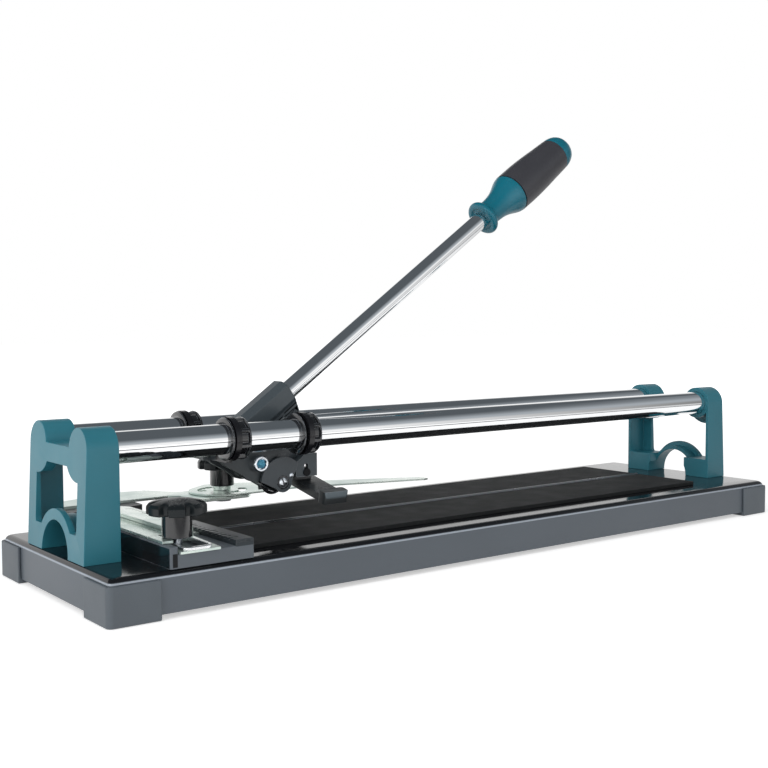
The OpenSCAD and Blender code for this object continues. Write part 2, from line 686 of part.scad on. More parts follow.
// ---------- breaker foot ----------

wing_end = foot_span / 2 - 1.5;

// Foot seen along X, an inverted V of even thickness.
module wing_outline() {
    d = tan(foot_droop);
    polygon([[0, wing_z[1]], [wing_end, wing_z[1] - d * wing_end],
        [wing_end, wing_z[0] - d * wing_end], [0, wing_z[0]],
        [-wing_end, wing_z[0] - d * wing_end], [-wing_end, wing_z[1] - d * wing_end]]);
}

module breaker_foot() color([0.25, 0.27, 0.3]) at_pivot() difference() {
    union() {
        along(foot_x[0], foot_x[1]) wing_outline();
        across(-cheek_y[0] + 0.3, cheek_y[0] - 0.3)
            round_rect([foot_x[0], wing_z[0] + 2], [foot_at[0] + 6.8, foot_at[1] + 3], 2.5);
    }
    translate([foot_at[0], 0, foot_at[1]]) rod_y(foot_pin_d / 2 + seat, -20, 20);
    for (s = [-1, 1]) wing_channel(s);
}

// Hollow in the underside of a wing that leaves a rib along each edge.
module wing_channel(s) {
    y0 = 12;
    y1 = wing_end - 8;
    d = tan(foot_droop);
    along(foot_x[0] + 3.5, foot_x[1] - 3.5) polygon([
        [s * y0, wing_z[0] - d * y0 - 1], [s * y1, wing_z[0] - d * y1 - 1],
        [s * y1, wing_z[0] - d * y1 + 2.6], [s * y0, wing_z[0] - d * y0 + 2.6]]);
}

// Moulded cap on the end of a wing.
module foot_cap(s) color([0.3, 0.32, 0.35]) at_pivot() difference() {
    translate([0, s * foot_span / 2, wing_z[0] - tan(foot_droop) * wing_end])
        mirror([0, s > 0 ? 0 : 1, 0]) rotate([-foot_droop, 0, 0]) {
            translate([foot_x[0] - 0.5, -8.2, -0.7]) linear_extrude(8.4)
                round_rect([0, 0], [foot_w + 1, 8.2], 2);
        }
    along(foot_x[0] - seat / 2, foot_x[1] + seat / 2) offset(delta = seat / 2) wing_outline();
}

module foot_pin() color([0.7, 0.71, 0.73]) at_pivot() translate([foot_at[0], 0, foot_at[1]]) {
    rod_y(foot_pin_d / 2, -cheek_y[1] - 0.1, cheek_y[1] + 0.1);
    for (s = [-1, 1]) rod_y(2.7, s > 0 ? cheek_y[1] + 0.1 : -cheek_y[1] - 1.1,
        s > 0 ? cheek_y[1] + 1.1 : -cheek_y[1] - 0.1);
}

// ---------- fence ----------

module fence_block_front() color([0.3, 0.31, 0.34]) difference() {
    translate([0, 0, bed_h]) linear_extrude(fence_front_h + 1)
        round_rect([fence_l, fence_front_y], [fence_r, fence_front_y + fence_front_d], 1.5);
    translate([fence_l - 1, fence_front_y - 1, front_top])
        cube([strip_x - fence_l + 1, fence_front_d + 2, 5]);
    translate([bar_x[0] - play, bar_y0 - 2, bar_z[0]])
        cube([fence_bar_w + 2 * play, fence_front_d, fence_bar_h + 5]);
    translate([knob_at[0], knob_at[1], bed_h + 4]) cylinder(d = stud_d + seat, h = 20);
    for (i = [0:9]) translate([strip_x - 1, fence_front_y + 8 + i * 5.4, front_top - 1.5])
        cube([i % 5 == 0 ? 9 : 6, 1.6, 5]);
    for (i = [0, 1]) translate([fence_screw_points()[i][0], fence_screw_points()[i][1], bed_h - 1])
        cylinder(d = 4, h = 9);
}

module fence_block_rear() color([0.13, 0.14, 0.15]) difference() {
    translate([0, 0, bed_h]) linear_extrude(rear_top - bed_h)
        round_rect([fence_l, bed_w / 2 - 1 - fence_rear_d], [fence_r, bed_w / 2 - 1], 4);
    for (i = [2, 3]) translate([fence_screw_points()[i][0], fence_screw_points()[i][1], bed_h - 1])
        cylinder(d = 4, h = 7);
    for (p = arm_screw_points()) translate([p[0], p[1], rear_top - 6]) cylinder(d = 4, h = 7);
}

module fence_screws() color([0.7, 0.71, 0.74]) for (p = fence_screw_points())
    translate([p[0], p[1], bed_h - sheet_t]) screw_up(4, sheet_t + 5);

// Channel section with a flat lid, a clamping tab at the front and a rounded far end.
module fence_bar() color([0.72, 0.76, 0.72]) {
    difference() {
        translate([0, 0, bar_z[0]]) linear_extrude(bar_z[1] - bar_z[0]) bar_plan();
        translate([bar_x[0] - 1, fence_front_y, bar_z[1] - lid_t - bar_groove])
            cube([0.45 * fence_bar_w, bed_w, bar_groove]);
    }
    translate([0, 0, front_top]) difference() {
        linear_extrude(tab_t) round_rect([fence_l + 2, fence_front_y - 5],
            [bar_x[1] - 1, bar_y0 + 2], 3);
        translate([knob_at[0], knob_at[1] - 15, -1]) linear_extrude(tab_t + 2)
            slot2d(bar_slot_r, 23);
        translate([knob_at[0], knob_at[1] - 15, tab_t]) slot_bevel(bar_slot_r, 23, 1.2);
    }
}

// Bevel of width b round the top edge of a slot.
module slot_bevel(r, l, b) {
    for (y = [0, l]) translate([0, y, -b]) cylinder(r1 = r, r2 = r + b + 0.1, h = b + 0.1);
    rotate([-90, 0, 0]) linear_extrude(l)
        polygon([[-r, b], [r, b], [r + b + 0.1, -0.1], [-r - b - 0.1, -0.1]]);
}

module bar_plan() {
    translate([bar_x[0], bar_y0]) square([fence_bar_w, fence_reach - 14 - bar_y0]);
    intersection() {
        translate([bar_x[0], fence_reach - 15]) square([fence_bar_w, 16]);
        translate([bar_x[0] + 3, fence_reach - 17]) circle(17);
    }
}

// A lobed clamping knob, its stem standing on z = 0.
module knob_shape() difference() {
    union() {
        cylinder(d = knob_stem_d, h = stem_h + 1);
        translate([0, 0, stem_h]) intersection() {
            linear_extrude(cap_h) knob_outline();
            translate([0, 0, cap_h - dome_r()]) sphere(r = dome_r(), $fn = 96);
        }
    }
    translate([0, 0, -1]) cylinder(d = stud_d + 2 * seat, h = 13);
}

// Radius of the dome over a knob's cap, which drops 4.5 from its middle to its rim.
function dome_r() = (pow(knob_d / 2, 2) + pow(4.5, 2)) / 9;

module knob_outline() {
    step = 360 / knob_lobes;
    lobe = 0.52 * knob_d * sin(step / 4);
    difference() {
        circle(d = knob_d);
        for (i = [0:knob_lobes - 1]) rotate(step * (i + 0.5)) translate([knob_d / 2 + 1.5, 0])
            circle(lobe);
    }
}

module fence_knob() color([0.16, 0.16, 0.17])
    translate([knob_at[0], knob_at[1], knob_seat_z + play]) knob_shape();

module fence_stud() color([0.7, 0.71, 0.74])
    translate([knob_at[0], knob_at[1], bed_h + 4]) cylinder(d = stud_d, h = knob_seat_z + 7 - bed_h);

// ---------- side stop ----------

function arm_screw_points() = [[fence_l + 20, bed_w / 2 - 6], [fence_l + 40, bed_w / 2 - 6]];

// Flat arm: a wide paddle on the rear block, a short neck and a hub under the blade.
module arm_plan() {
    y = bed_w / 2;
    polygon([[fence_l - 4, y - 8], [fence_r + 26, y - 8], [fence_r + 33, y - 15],
        [swivel_at[0] - 30, swivel_at[1] - 20], [swivel_at[0] - 26, swivel_at[1] - hub_reach],
        [swivel_at[0] + 8, swivel_at[1] - hub_reach], [swivel_at[0] + 13, swivel_at[1] - 20],
        [swivel_at[0] + 10, swivel_at[1] + 16], [swivel_at[0] - 22, swivel_at[1] + 20],
        [fence_r + 40, y + 4], [fence_r + 33, y + 14], [fence_r + 24, y + 0.87 * paddle_reach],
        [fence_r + 6, y + paddle_reach], [fence_l - 4, y + 0.4 * paddle_reach]]);
}

module stop_arm() color([0.68, 0.72, 0.68]) difference() {
    translate([0, 0, arm_z]) linear_extrude(arm_t) arm_plan();
    for (p = arm_screw_points()) translate([p[0], p[1], arm_z - 1]) cylinder(d = 4.3, h = arm_t + 2);
    translate([swivel_at[0], swivel_at[1], arm_z - 1]) cylinder(d = stud_d + seat, h = arm_t + 2);
}

module arm_screws() color([0.7, 0.71, 0.74]) for (p = arm_screw_points())
    translate([p[0], p[1], arm_z + arm_t]) {
        translate([0, 0, -6]) cylinder(d = 4, h = 6);
        cylinder(d1 = 8, d2 = 6, h = 2.2, $fn = 48);
    }

// Long tapering blade seen from above, its pivot at the origin.
module blade_plan() difference() {
    union() {
        circle(r = 25);
        polygon([[10, -23], [60, -6], [blade_l - 4, -2.4], [blade_l, 0], [blade_l - 4, 8],
            [88, 18], [20, 31], [-8, 31], [-20, 15]]);
    }
    for (a = [115:14:185], s = [0, 180]) rotate(a + s) translate([15.5, 0]) circle(r = 3.4);
    circle(d = stud_d + 2 * seat);
}

module at_swivel() translate([swivel_at[0], swivel_at[1], blade_z]) children();

module swivel_blade() color([0.72, 0.77, 0.73]) at_swivel() rotate(-blade_angle)
    linear_extrude(blade_t) blade_plan();

module swivel_knob() color([0.16, 0.16, 0.17]) at_swivel()
    translate([0, 0, blade_t + play]) knob_shape();

module swivel_stud() color([0.7, 0.71, 0.74]) translate([swivel_at[0], swivel_at[1], 0]) {
    translate([0, 0, arm_z - 3]) cylinder(d = stud_d, h = blade_z + blade_t + 11 - arm_z + 3);
    translate([0, 0, arm_z - 4.4]) cylinder(d = 14, h = 4.4);
}

bed();
boot(-1, -1);  // boot_front_left
boot(1, -1);  // boot_front_right
boot(-1, 1);  // boot_rear_left
boot(1, 1);  // boot_rear_right
pad(-1);  // front_pad
pad(1);  // rear_pad
breaking_bar();
left_bracket();
right_bracket();
bracket_screws();
rail(-1);  // front_rail
rail(1);  // rear_rail
carriage_frame();
bush(-1, -1);  // bush_front_left
bush(1, -1);  // bush_front_right
bush(-1, 1);  // bush_rear_left
bush(1, 1);  // bush_rear_right
pivot_bolt();
pivot_sleeve();
pivot_nut();
lever_casting();
lever_rod();
grip_front();
grip_sleeve();
grip_cap();
scoring_wheel();
wheel_screw();
wheel_nut();
wheel_cover();
cover_rivet();
breaker_foot();
foot_cap(-1);  // foot_cap_front
foot_cap(1);  // foot_cap_rear
foot_pin();
fence_block_front();
fence_block_rear();
fence_bar();
fence_knob();
fence_stud();
stop_arm();
arm_screws();
swivel_blade();
swivel_knob();
swivel_stud();
fence_screws();
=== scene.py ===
"""Manual tile cutter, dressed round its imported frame.

+X runs along the cut, +Y away from the fence knob's side and +Z up. The origin is on the bench,
under the middle of the bed. The cutter's sizes and places are in mm, and the mesh helpers turn
them into the frame's metres. Shaders, camera and studio are in metres.
"""

from __future__ import annotations

import json
import logging
import math
from collections.abc import Callable, Sequence
from dataclasses import dataclass
from enum import Enum

import bmesh
import bpy
from mathutils import Matrix, Vector

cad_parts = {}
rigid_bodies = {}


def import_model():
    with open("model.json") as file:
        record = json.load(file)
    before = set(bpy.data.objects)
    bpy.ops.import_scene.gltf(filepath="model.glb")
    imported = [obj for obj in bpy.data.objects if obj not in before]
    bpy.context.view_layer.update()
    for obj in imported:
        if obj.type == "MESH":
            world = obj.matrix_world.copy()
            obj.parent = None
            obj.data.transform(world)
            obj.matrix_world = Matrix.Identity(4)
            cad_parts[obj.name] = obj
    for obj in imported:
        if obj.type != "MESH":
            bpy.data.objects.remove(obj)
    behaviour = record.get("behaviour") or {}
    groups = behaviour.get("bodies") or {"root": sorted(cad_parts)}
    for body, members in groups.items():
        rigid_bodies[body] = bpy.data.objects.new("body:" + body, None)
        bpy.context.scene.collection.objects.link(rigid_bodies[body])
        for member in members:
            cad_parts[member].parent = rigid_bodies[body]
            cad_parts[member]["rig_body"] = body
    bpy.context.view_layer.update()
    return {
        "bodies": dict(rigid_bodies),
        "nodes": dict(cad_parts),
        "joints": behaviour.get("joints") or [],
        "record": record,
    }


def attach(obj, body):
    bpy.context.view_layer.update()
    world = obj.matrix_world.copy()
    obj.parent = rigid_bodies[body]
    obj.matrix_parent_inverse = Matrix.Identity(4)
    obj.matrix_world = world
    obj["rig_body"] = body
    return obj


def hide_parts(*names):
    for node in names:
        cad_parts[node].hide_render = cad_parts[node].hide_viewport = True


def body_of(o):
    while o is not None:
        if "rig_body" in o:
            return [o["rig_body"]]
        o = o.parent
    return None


LOG = logging.getLogger("tile_cutter")
MM = 0.001
PIVOT = Vector((-166.5, 0.0, 74.8))  # middle of the lever's bolt
CORNER_STEPS = 8  # steps in each corner of a rounded loop

Colour = tuple[float, float, float]
Pair = tuple[float, float]
Socket = bpy.types.NodeSocket
Mesh = bmesh.types.BMesh
Piece = bpy.types.Object


class Labelled(Enum):
    """An enumeration whose members have names in small letters, as CAD nodes do."""

    @property
    def label(self) -> str:
        """The member's name in small letters."""
        return self.name.lower()


class Side(Labelled):
    """The two sides of the line of the cut."""

    FRONT = -1
    REAR = 1


class End(Labelled):
    """The two ends of the bed."""

    LEFT = -1
    RIGHT = 1


# ---------------------------------------------------------------- shader graphs


class Graph:
    """A node tree with short calls for adding and joining nodes."""

    def __init__(self, tree: bpy.types.NodeTree) -> None:
        """Wraps a node tree."""
        self.tree = tree

    def add(self, kind: str, inputs: dict[str | int, object] | None = None,
            **settings: object) -> bpy.types.Node:
        """Adds a node.

        Args:
            kind: the node's type, without its ShaderNode prefix.
            inputs: socket name or number to a plain value or another socket.
            settings: attributes of the node itself.

        Returns:
            The new node.
        """
        node = self.tree.nodes.new("ShaderNode" + kind)
        for name, value in settings.items():
            setattr(node, name, value)
        for name, value in (inputs or {}).items():
            self.feed(node.inputs[name], value)
        return node

    def feed(self, socket: Socket, value: object) -> None:
        """Joins a socket to a socket, or sets its value.

        Args:
            socket: the input.
            value: an output socket, a number, a vector or a colour.
        """
        if isinstance(value, Socket):
            self.tree.links.new(value, socket)
        elif isinstance(value, tuple) and socket.type == "RGBA":
            socket.default_value = (*value, 1.0)
        else:
            socket.default_value = value

    def maths(self, operation: str, *values: object, clamp: bool = False) -> Socket:
        """Result of a Math node on numbers or sockets."""
        node = self.add("Math", dict(enumerate(values)), operation=operation, use_clamp=clamp)
        return node.outputs[0]

    def times(self, first: object, second: object, clamp: bool = False) -> Socket:
        """Product of two numbers or sockets."""
        return self.maths("MULTIPLY", first, second, clamp=clamp)

    def ramp(self, value: Socket, low: float, high: float, start: float = 0.0,
             end: float = 1.0) -> Socket:
        """Maps a value from low..high to start..end, clamped."""
        return self.add("MapRange", {0: value, 1: low, 2: high, 3: start, 4: end}).outputs[0]

    def mix(self, factor: Socket, first: object, second: object) -> Socket:
        """Colour that goes from first, at factor 0, to second."""
        return self.add("Mix", {0: factor, 6: first, 7: second}, data_type="RGBA").outputs[2]

    def shade(self, factor: Socket, colour: Colour, dark: float, light: float) -> Socket:
        """Colour that goes from a darker to a lighter tone of one colour."""
        return self.mix(factor, scaled(colour, dark), scaled(colour, light))

    def place(self) -> Socket:
        """Place in the object's own space, which for CAD pieces is the frame."""
        return self.add("TexCoord").outputs["Object"]

    def axis(self, name: str) -> Socket:
        """Place along "X", "Y" or "Z"."""
        return self.add("SeparateXYZ", {0: self.place()}).outputs[name]

    def noise(self, scale: object, detail: float, roughness: float = 0.5, at: Socket | None = None,
              distortion: float = 0.0) -> Socket:
        """Noise from 0 to 1.

        Args:
            scale: waves per metre.
            detail: octaves.
            roughness: share of the finer octaves.
            at: where it is read, if not at the place.
            distortion: how far it bends.

        Returns:
            The noise's value.
        """
        where = self.place() if at is None else at
        rows = {"Vector": where, "Scale": scale, "Detail": detail, "Roughness": roughness,
                "Distortion": distortion}
        return self.add("TexNoise", rows).outputs[0]

    def cells(self, scale: object, feature: str = "F1") -> bpy.types.NodeOutputs:
        """Cells of random size, with their Distance and Color."""
        rows = {"Vector": self.place(), "Scale": scale, "Randomness": 1.0}
        return self.add("TexVoronoi", rows, feature=feature).outputs

    def seen(self) -> Socket:
        """Tells what is looked at from what only gives light.

        Returns:
            1 where the camera looks, also by way of gloss or glass, and 0 for other light.
        """
        path = self.add("LightPath").outputs
        direct = self.maths("MAXIMUM", path["Is Camera Ray"], path["Is Glossy Ray"])
        return self.maths("MAXIMUM", direct, path["Is Transmission Ray"])

    def dress(self, shader: bpy.types.Node, colour: object, roughness: object,
              height: Socket | None = None, depth: float = 0.0, strength: float = 1.0) -> None:
        """Joins a colour, a roughness and a relief to a Principled shader.

        Args:
            shader: the Principled node.
            colour: its base colour.
            roughness: its roughness.
            height: the relief, or None.
            depth: depth of the relief in metres.
            strength: strength of the relief, from 0 to 1.
        """
        self.feed(shader.inputs["Base Color"], colour)
        self.feed(shader.inputs["Roughness"], roughness)
        if height is not None:
            bump = self.add("Bump", {"Height": height, "Distance": depth, "Strength": strength})
            self.feed(shader.inputs["Normal"], bump.outputs[0])


def scaled(colour: Colour, factor: float) -> Colour:
    """The colour made lighter or darker."""
    return tuple(min(1.0, c * factor) for c in colour)


@dataclass(frozen=True)
class Effect:
    """A shader node group that several finishes share.

    Attributes:
        name: name of the group.
        inputs: socket name to default value.
        draw: fills the group from its graph and inputs, and gives its outputs by name.
    """

    name: str
    inputs: dict[str, float]
    draw: Callable[[Graph, bpy.types.NodeOutputs], dict[str, Socket]]

    def group(self) -> bpy.types.NodeTree:
        """Builds the group the first time that it's asked for.

        Returns:
            The group.
        """
        known = bpy.data.node_groups.get(self.name)
        if known:
            return known
        tree = bpy.data.node_groups.new(self.name, "ShaderNodeTree")
        sockets = tree.interface
        for name, value in self.inputs.items():
            socket = sockets.new_socket(name=name, in_out="INPUT", socket_type="NodeSocketFloat")
            socket.default_value = value
        graph = Graph(tree)
        results = self.draw(graph, tree.nodes.new("NodeGroupInput").outputs)
        for name in results:
            sockets.new_socket(name=name, in_out="OUTPUT", socket_type="NodeSocketFloat")
        target = tree.nodes.new("NodeGroupOutput")
        for name, value in results.items():
            graph.feed(target.inputs[name], value)
        return tree

    def use(self, graph: Graph, **values: object) -> bpy.types.NodeOutputs:
        """Places the group in a material.

        Args:
            graph: the material's graph.
            values: input name, with underscores for spaces, to value or socket.

        Returns:
            The group node's outputs.
        """
        rows = {name.replace("_", " "): value for name, value in values.items()}
        return graph.add("Group", rows, node_tree=self.group()).outputs


def _edge_wear(graph: Graph, source: bpy.types.NodeOutputs) -> dict[str, Socket]:
    """Mask of the edges, broken up by noise, for edge wear and painted edge highlight.

    Args:
        graph: the group's graph.
        source: the group's inputs.

    Returns:
        Output name to value: the mask.
    """
    eased = graph.add("Bevel", {"Radius": source["Width"]}, samples=6).outputs[0]
    flat = graph.add("NewGeometry").outputs["Normal"]
    turn = graph.add("VectorMath", {0: eased, 1: flat}, operation="DOT_PRODUCT")
    edge = graph.ramp(turn.outputs["Value"], 0.995, 0.86)
    broken = graph.ramp(graph.noise(source["Break Up"], 4.0, 0.6), 0.38, 0.62, 0.25, 1.0)
    return {"Mask": graph.times(graph.times(edge, broken), source["Amount"], clamp=True)}


def _mould_grain(graph: Graph, source: bpy.types.NodeOutputs) -> dict[str, Socket]:
    """Fine pebbled grain of a moulded or sand-cast skin, with its slow change of tone.

    Args:
        graph: the group's graph.
        source: the group's inputs.

    Returns:
        Output name to value: the grain and the tone.
    """
    pebbles = graph.cells(source["Scale"], "SMOOTH_F1")["Distance"]
    fine = graph.noise(source["Scale"], 3.0, 0.55)
    tone = graph.ramp(graph.noise(source["Drift"], 2.0), 0.3, 0.7)
    return {"Height": graph.maths("ADD", graph.times(pebbles, 0.7), fine), "Tone": tone}


def _brushed(graph: Graph, source: bpy.types.NodeOutputs) -> dict[str, Socket]:
    """Long fine lines along X, as rolling or drawing leaves on metal.

    Args:
        graph: the group's graph.
        source: the group's inputs.

    Returns:
        Output name to value: the lines and the clouds over them.
    """
    stretched = graph.add("Mapping", {"Vector": graph.place(), "Scale": (0.02, 1.0, 1.0)})
    lines = graph.noise(source["Scale"], 5.0, 0.7, at=stretched.outputs[0])
    return {"Lines": lines, "Cloud": graph.ramp(graph.noise(source["Cloud"], 3.0, 0.6), 0.35, 0.65)}


def _handling(graph: Graph, source: bpy.types.NodeOutputs) -> dict[str, Socket]:
    """Soft smudges and a few fine specks, as a shop-new tool picks up.

    Args:
        graph: the group's graph.
        source: the group's inputs.

    Returns:
        Output name to value: the smudges and the specks.
    """
    smudge = graph.noise(source["Scale"], 5.0, 0.55, distortion=0.6)
    speck = graph.cells(source["Specks"])["Distance"]
    return {"Smudge": graph.ramp(smudge, 0.35, 0.75), "Speck": graph.ramp(speck, 0.12, 0.05)}


# Lighter edges: partly wear, partly painted highlight.
EDGE_WEAR_AND_HIGHLIGHT = Effect("EdgeWear", {"Width": 0.0008, "Amount": 0.5, "Break Up": 300.0}, _edge_wear)
MOULD_GRAIN = Effect("MouldGrain", {"Scale": 1500.0, "Drift": 20.0}, _mould_grain)
BRUSHED = Effect("BrushedLines", {"Scale": 900.0, "Cloud": 30.0}, _brushed)
HANDLING = Effect("Handling", {"Scale": 25.0, "Specks": 400.0}, _handling)


# ---------------------------------------------------------------- finishes


@dataclass(frozen=True)
class Finish:
    """A procedural material, under its name."""

    name: str

    def build(self) -> bpy.types.Material:
        """Makes the material.

        Returns:
            The material, with a Principled shader.
        """
        material = bpy.data.materials.new(self.name)
        material.use_nodes = True
        material.node_tree.nodes.clear()
        graph = Graph(material.node_tree)
        shader = graph.add("BsdfPrincipled")
        graph.add("OutputMaterial", {"Surface": shader.outputs[0]})
        self.draw(graph, shader)
        return material

    def draw(self, graph: Graph, shader: bpy.types.Node) -> None:
        """Joins the finish's nodes to the Principled shader."""
        raise NotImplementedError


@dataclass(frozen=True)
class Moulded(Finish):
    """Satin or glossy moulding, with a fine grain, edges lightened as wear and painted highlight,
    and a slow change of tone.

    Attributes:
        colour: base colour.
        edge: colour that shows along its edges, as wear and painted highlight.
        roughness: mean roughness.
        grain: grains per metre.
        depth: height of the grain in metres.
        wear: share of the edge colour on sharp edges, as wear and painted highlight.
        coat: weight of a clear top layer.
        coat_roughness: roughness of that layer.
        specular: strength of its own gloss.
    """

    colour: Colour
    edge: Colour
    roughness: float
    grain: float
    depth: float
    wear: float
    coat: float = 0.0
    coat_roughness: float = 0.2
    specular: float = 0.5

    def draw(self, graph: Graph, shader: bpy.types.Node) -> None:
        """Joins the finish's nodes to the Principled shader.

        Args:
            graph: the material's graph.
            shader: its Principled node.
        """
        grain = MOULD_GRAIN.use(graph, Scale=self.grain, Drift=18.0)
        smudge = HANDLING.use(graph, Scale=22.0, Specks=500.0)["Smudge"]
        # The edge colour on sharp edges is wear and painted highlight.
        wear = EDGE_WEAR_AND_HIGHLIGHT.use(graph, Width=0.0007, Amount=self.wear, Break_Up=350.0)["Mask"]
        colour = graph.mix(wear, graph.shade(grain["Tone"], self.colour, 0.9, 1.08), self.edge)
        rough = graph.ramp(smudge, 0.0, 1.0, self.roughness * 0.88, self.roughness * 1.12)
        graph.dress(shader, colour, rough, grain["Height"], self.depth, 0.8)
        shader.inputs["Coat Weight"].default_value = self.coat
        shader.inputs["Coat Roughness"].default_value = self.coat_roughness
        shader.inputs["Specular IOR Level"].default_value = self.specular


@dataclass(frozen=True)
class Enamel(Finish):
    """Gloss black enamel on folded sheet, with a satin grey skirt below the fold and a painted
    highlight line along the fold.

    Attributes:
        colour: colour of the top.
        skirt: colour of the skirt.
        dust: colour of the finest dust.
        trim: colour of the painted highlight, a thin bright line that runs along the fold.
        line: height in metres where the top's black ends.
        roughness: mean roughness of the top.
        satin: roughness that the skirt has more.
    """

    colour: Colour
    skirt: Colour
    dust: Colour
    trim: Colour
    line: float
    roughness: float = 0.08
    satin: float = 0.34

    def draw(self, graph: Graph, shader: bpy.types.Node) -> None:
        """Joins the finish's nodes to the Principled shader.

        Args:
            graph: the material's graph.
            shader: its Principled node.
        """
        height = graph.axis("Z")
        top = graph.ramp(height, self.line - 0.15 * MM, self.line + 0.15 * MM)
        tone = MOULD_GRAIN.use(graph, Scale=1500.0, Drift=9.0)["Tone"]
        hand = HANDLING.use(graph, Scale=9.0, Specks=230.0)
        # A thin pale band just below the top's black: painted highlight along the fold.
        above = graph.ramp(height, self.line - 1.5 * MM, self.line - 1.2 * MM)
        below = graph.ramp(height, self.line - 0.45 * MM, self.line - 0.25 * MM, 1.0, 0.0)
        fold_highlight_mask = graph.times(above, below)
        skirt = graph.mix(fold_highlight_mask, graph.shade(tone, self.skirt, 0.95, 1.05), self.trim)
        black = graph.mix(graph.times(hand["Speck"], 0.2), self.colour, self.dust)
        gloss = graph.ramp(hand["Smudge"], 0.0, 1.0, self.roughness, self.roughness * 1.8)
        satin = graph.times(graph.maths("SUBTRACT", 1.0, top), self.satin)
        peel = graph.noise(260.0, 1.0, 0.4)
        rough = graph.maths("ADD", gloss, satin)
        graph.dress(shader, graph.mix(top, skirt, black), rough, peel, 0.00001, 0.4)


@dataclass(frozen=True)
class GritPad(Finish):
    """Charcoal non-slip pad with a close grit.

    Attributes:
        colour: base colour.
        glint: colour of the grit's light grains.
    """

    colour: Colour
    glint: Colour

    def draw(self, graph: Graph, shader: bpy.types.Node) -> None:
        """Joins the finish's nodes to the Principled shader.

        Args:
            graph: the material's graph.
            shader: its Principled node.
        """
        grit = graph.cells(1100.0)
        cloud = graph.noise(60.0, 4.0)
        light = graph.ramp(grit["Color"], 0.86, 1.0, 0.0, 0.5)
        tone = graph.shade(graph.ramp(cloud, 0.3, 0.7), self.colour, 0.85, 1.15)
        rough = graph.ramp(cloud, 0.3, 0.7, 0.72, 0.88)
        colour = graph.mix(light, tone, self.glint)
        graph.dress(shader, colour, rough, grit["Distance"], 0.00018, 0.9)


@dataclass(frozen=True)
class Metal(Finish):
    """Bare or plated metal with fine lines and cloudy haze.

    Attributes:
        colour: the metal's own colour.
        tint: second colour that clouds over it.
        roughness: roughness where it is clean.
        haze: roughness where it is hazed.
        lines: depth of its fine lines in metres.
        cloud: clouds per metre.
        spacing: fine lines per metre.
        metallic: how far it is bare metal.
    """

    colour: Colour
    tint: Colour
    roughness: float
    haze: float
    lines: float
    cloud: float = 30.0
    spacing: float = 1400.0
    metallic: float = 1.0

    def draw(self, graph: Graph, shader: bpy.types.Node) -> None:
        """Joins the finish's nodes to the Principled shader.

        Args:
            graph: the material's graph.
            shader: its Principled node.
        """
        rolled = BRUSHED.use(graph, Scale=self.spacing, Cloud=self.cloud)
        colour = graph.mix(rolled["Cloud"], self.colour, self.tint)
        rough = graph.ramp(rolled["Cloud"], 0.0, 1.0, self.roughness, self.haze)
        graph.dress(shader, colour, rough, rolled["Lines"] if self.lines else None, self.lines, 0.3)
        shader.inputs["Metallic"].default_value = self.metallic


@dataclass(frozen=True)
class BandPaint(Finish):
    """Satin casting paint that turns gloss black beyond a distance from the line of the cut, its
    edges lightened as painted highlight and wear.

    Attributes:
        colour: colour near the line of the cut.
        black: colour beyond it.
        reach: distance along Y in metres where the colour changes.
        roughness: roughness of the satin part.
        gloss: roughness of the black part.
    """

    colour: Colour
    black: Colour
    reach: float
    roughness: float = 0.4
    gloss: float = 0.24

    def draw(self, graph: Graph, shader: bpy.types.Node) -> None:
        """Joins the finish's nodes to the Principled shader.

        Args:
            graph: the material's graph.
            shader: its Principled node.
        """
        away = graph.maths("ABSOLUTE", graph.axis("Y"))
        ring = graph.ramp(away, self.reach - 0.2 * MM, self.reach + 0.2 * MM)
        grain = MOULD_GRAIN.use(graph, Scale=1200.0, Drift=18.0)
        # Edges lightened to 2.6 times the colour: painted highlight, with some wear.
        wear = EDGE_WEAR_AND_HIGHLIGHT.use(graph, Width=0.0006, Amount=0.35, Break_Up=350.0)["Mask"]
        tone = graph.shade(grain["Tone"], self.colour, 0.9, 1.1)
        colour = graph.mix(ring, graph.mix(wear, tone, scaled(self.colour, 2.6)), self.black)
        rough = graph.ramp(ring, 0.0, 1.0, self.roughness, self.gloss)
        graph.dress(shader, colour, rough, grain["Height"], 0.00002, 0.6)


@dataclass(frozen=True)
class FloorWhite(Finish):
    """Matt white that keeps a soft shadow near the cutter and glows further out.

    What gloss and metal see of it has a dark seam before the cutter and a darker right side.

    Attributes:
        tone: its grey, from 0 to 1.
        glow: its glow under the cutter.
        seam_y: place of the seam along Y.
        seam: half of the seam's width.
    """

    tone: float = 0.8
    glow: float = 0.5
    seam_y: float = -0.36
    seam: float = 0.075

    def draw(self, graph: Graph, shader: bpy.types.Node) -> None:
        """Joins the finish's nodes to the Principled shader.

        Args:
            graph: the material's graph.
            shader: its Principled node.
        """
        away = graph.add("VectorMath", {0: graph.place()}, operation="LENGTH").outputs["Value"]
        glow = graph.ramp(away, 0.5, 1.6, self.glow, 1.0)
        near = graph.maths("ABSOLUTE", graph.maths("SUBTRACT", graph.axis("Y"), self.seam_y))
        seam = graph.ramp(near, self.seam / 2, self.seam, 0.95, 0.0)
        right = graph.ramp(graph.axis("X"), 0.5, 0.9, 0.0, 0.55)
        glossy = graph.add("LightPath").outputs["Is Glossy Ray"]
        dark = graph.times(graph.maths("MAXIMUM", seam, right), glossy)
        lit = graph.times(graph.seen(), graph.maths("SUBTRACT", 1.0, dark))
        graph.dress(shader, graph.mix(dark, (self.tone,) * 3, (0.05, 0.05, 0.06)), 1.0)
        shader.inputs["Specular IOR Level"].default_value = 0.0
        shader.inputs["Emission Color"].default_value = (1.0, 1.0, 1.0, 1.0)
        graph.feed(shader.inputs["Emission Strength"], graph.times(lit, glow))


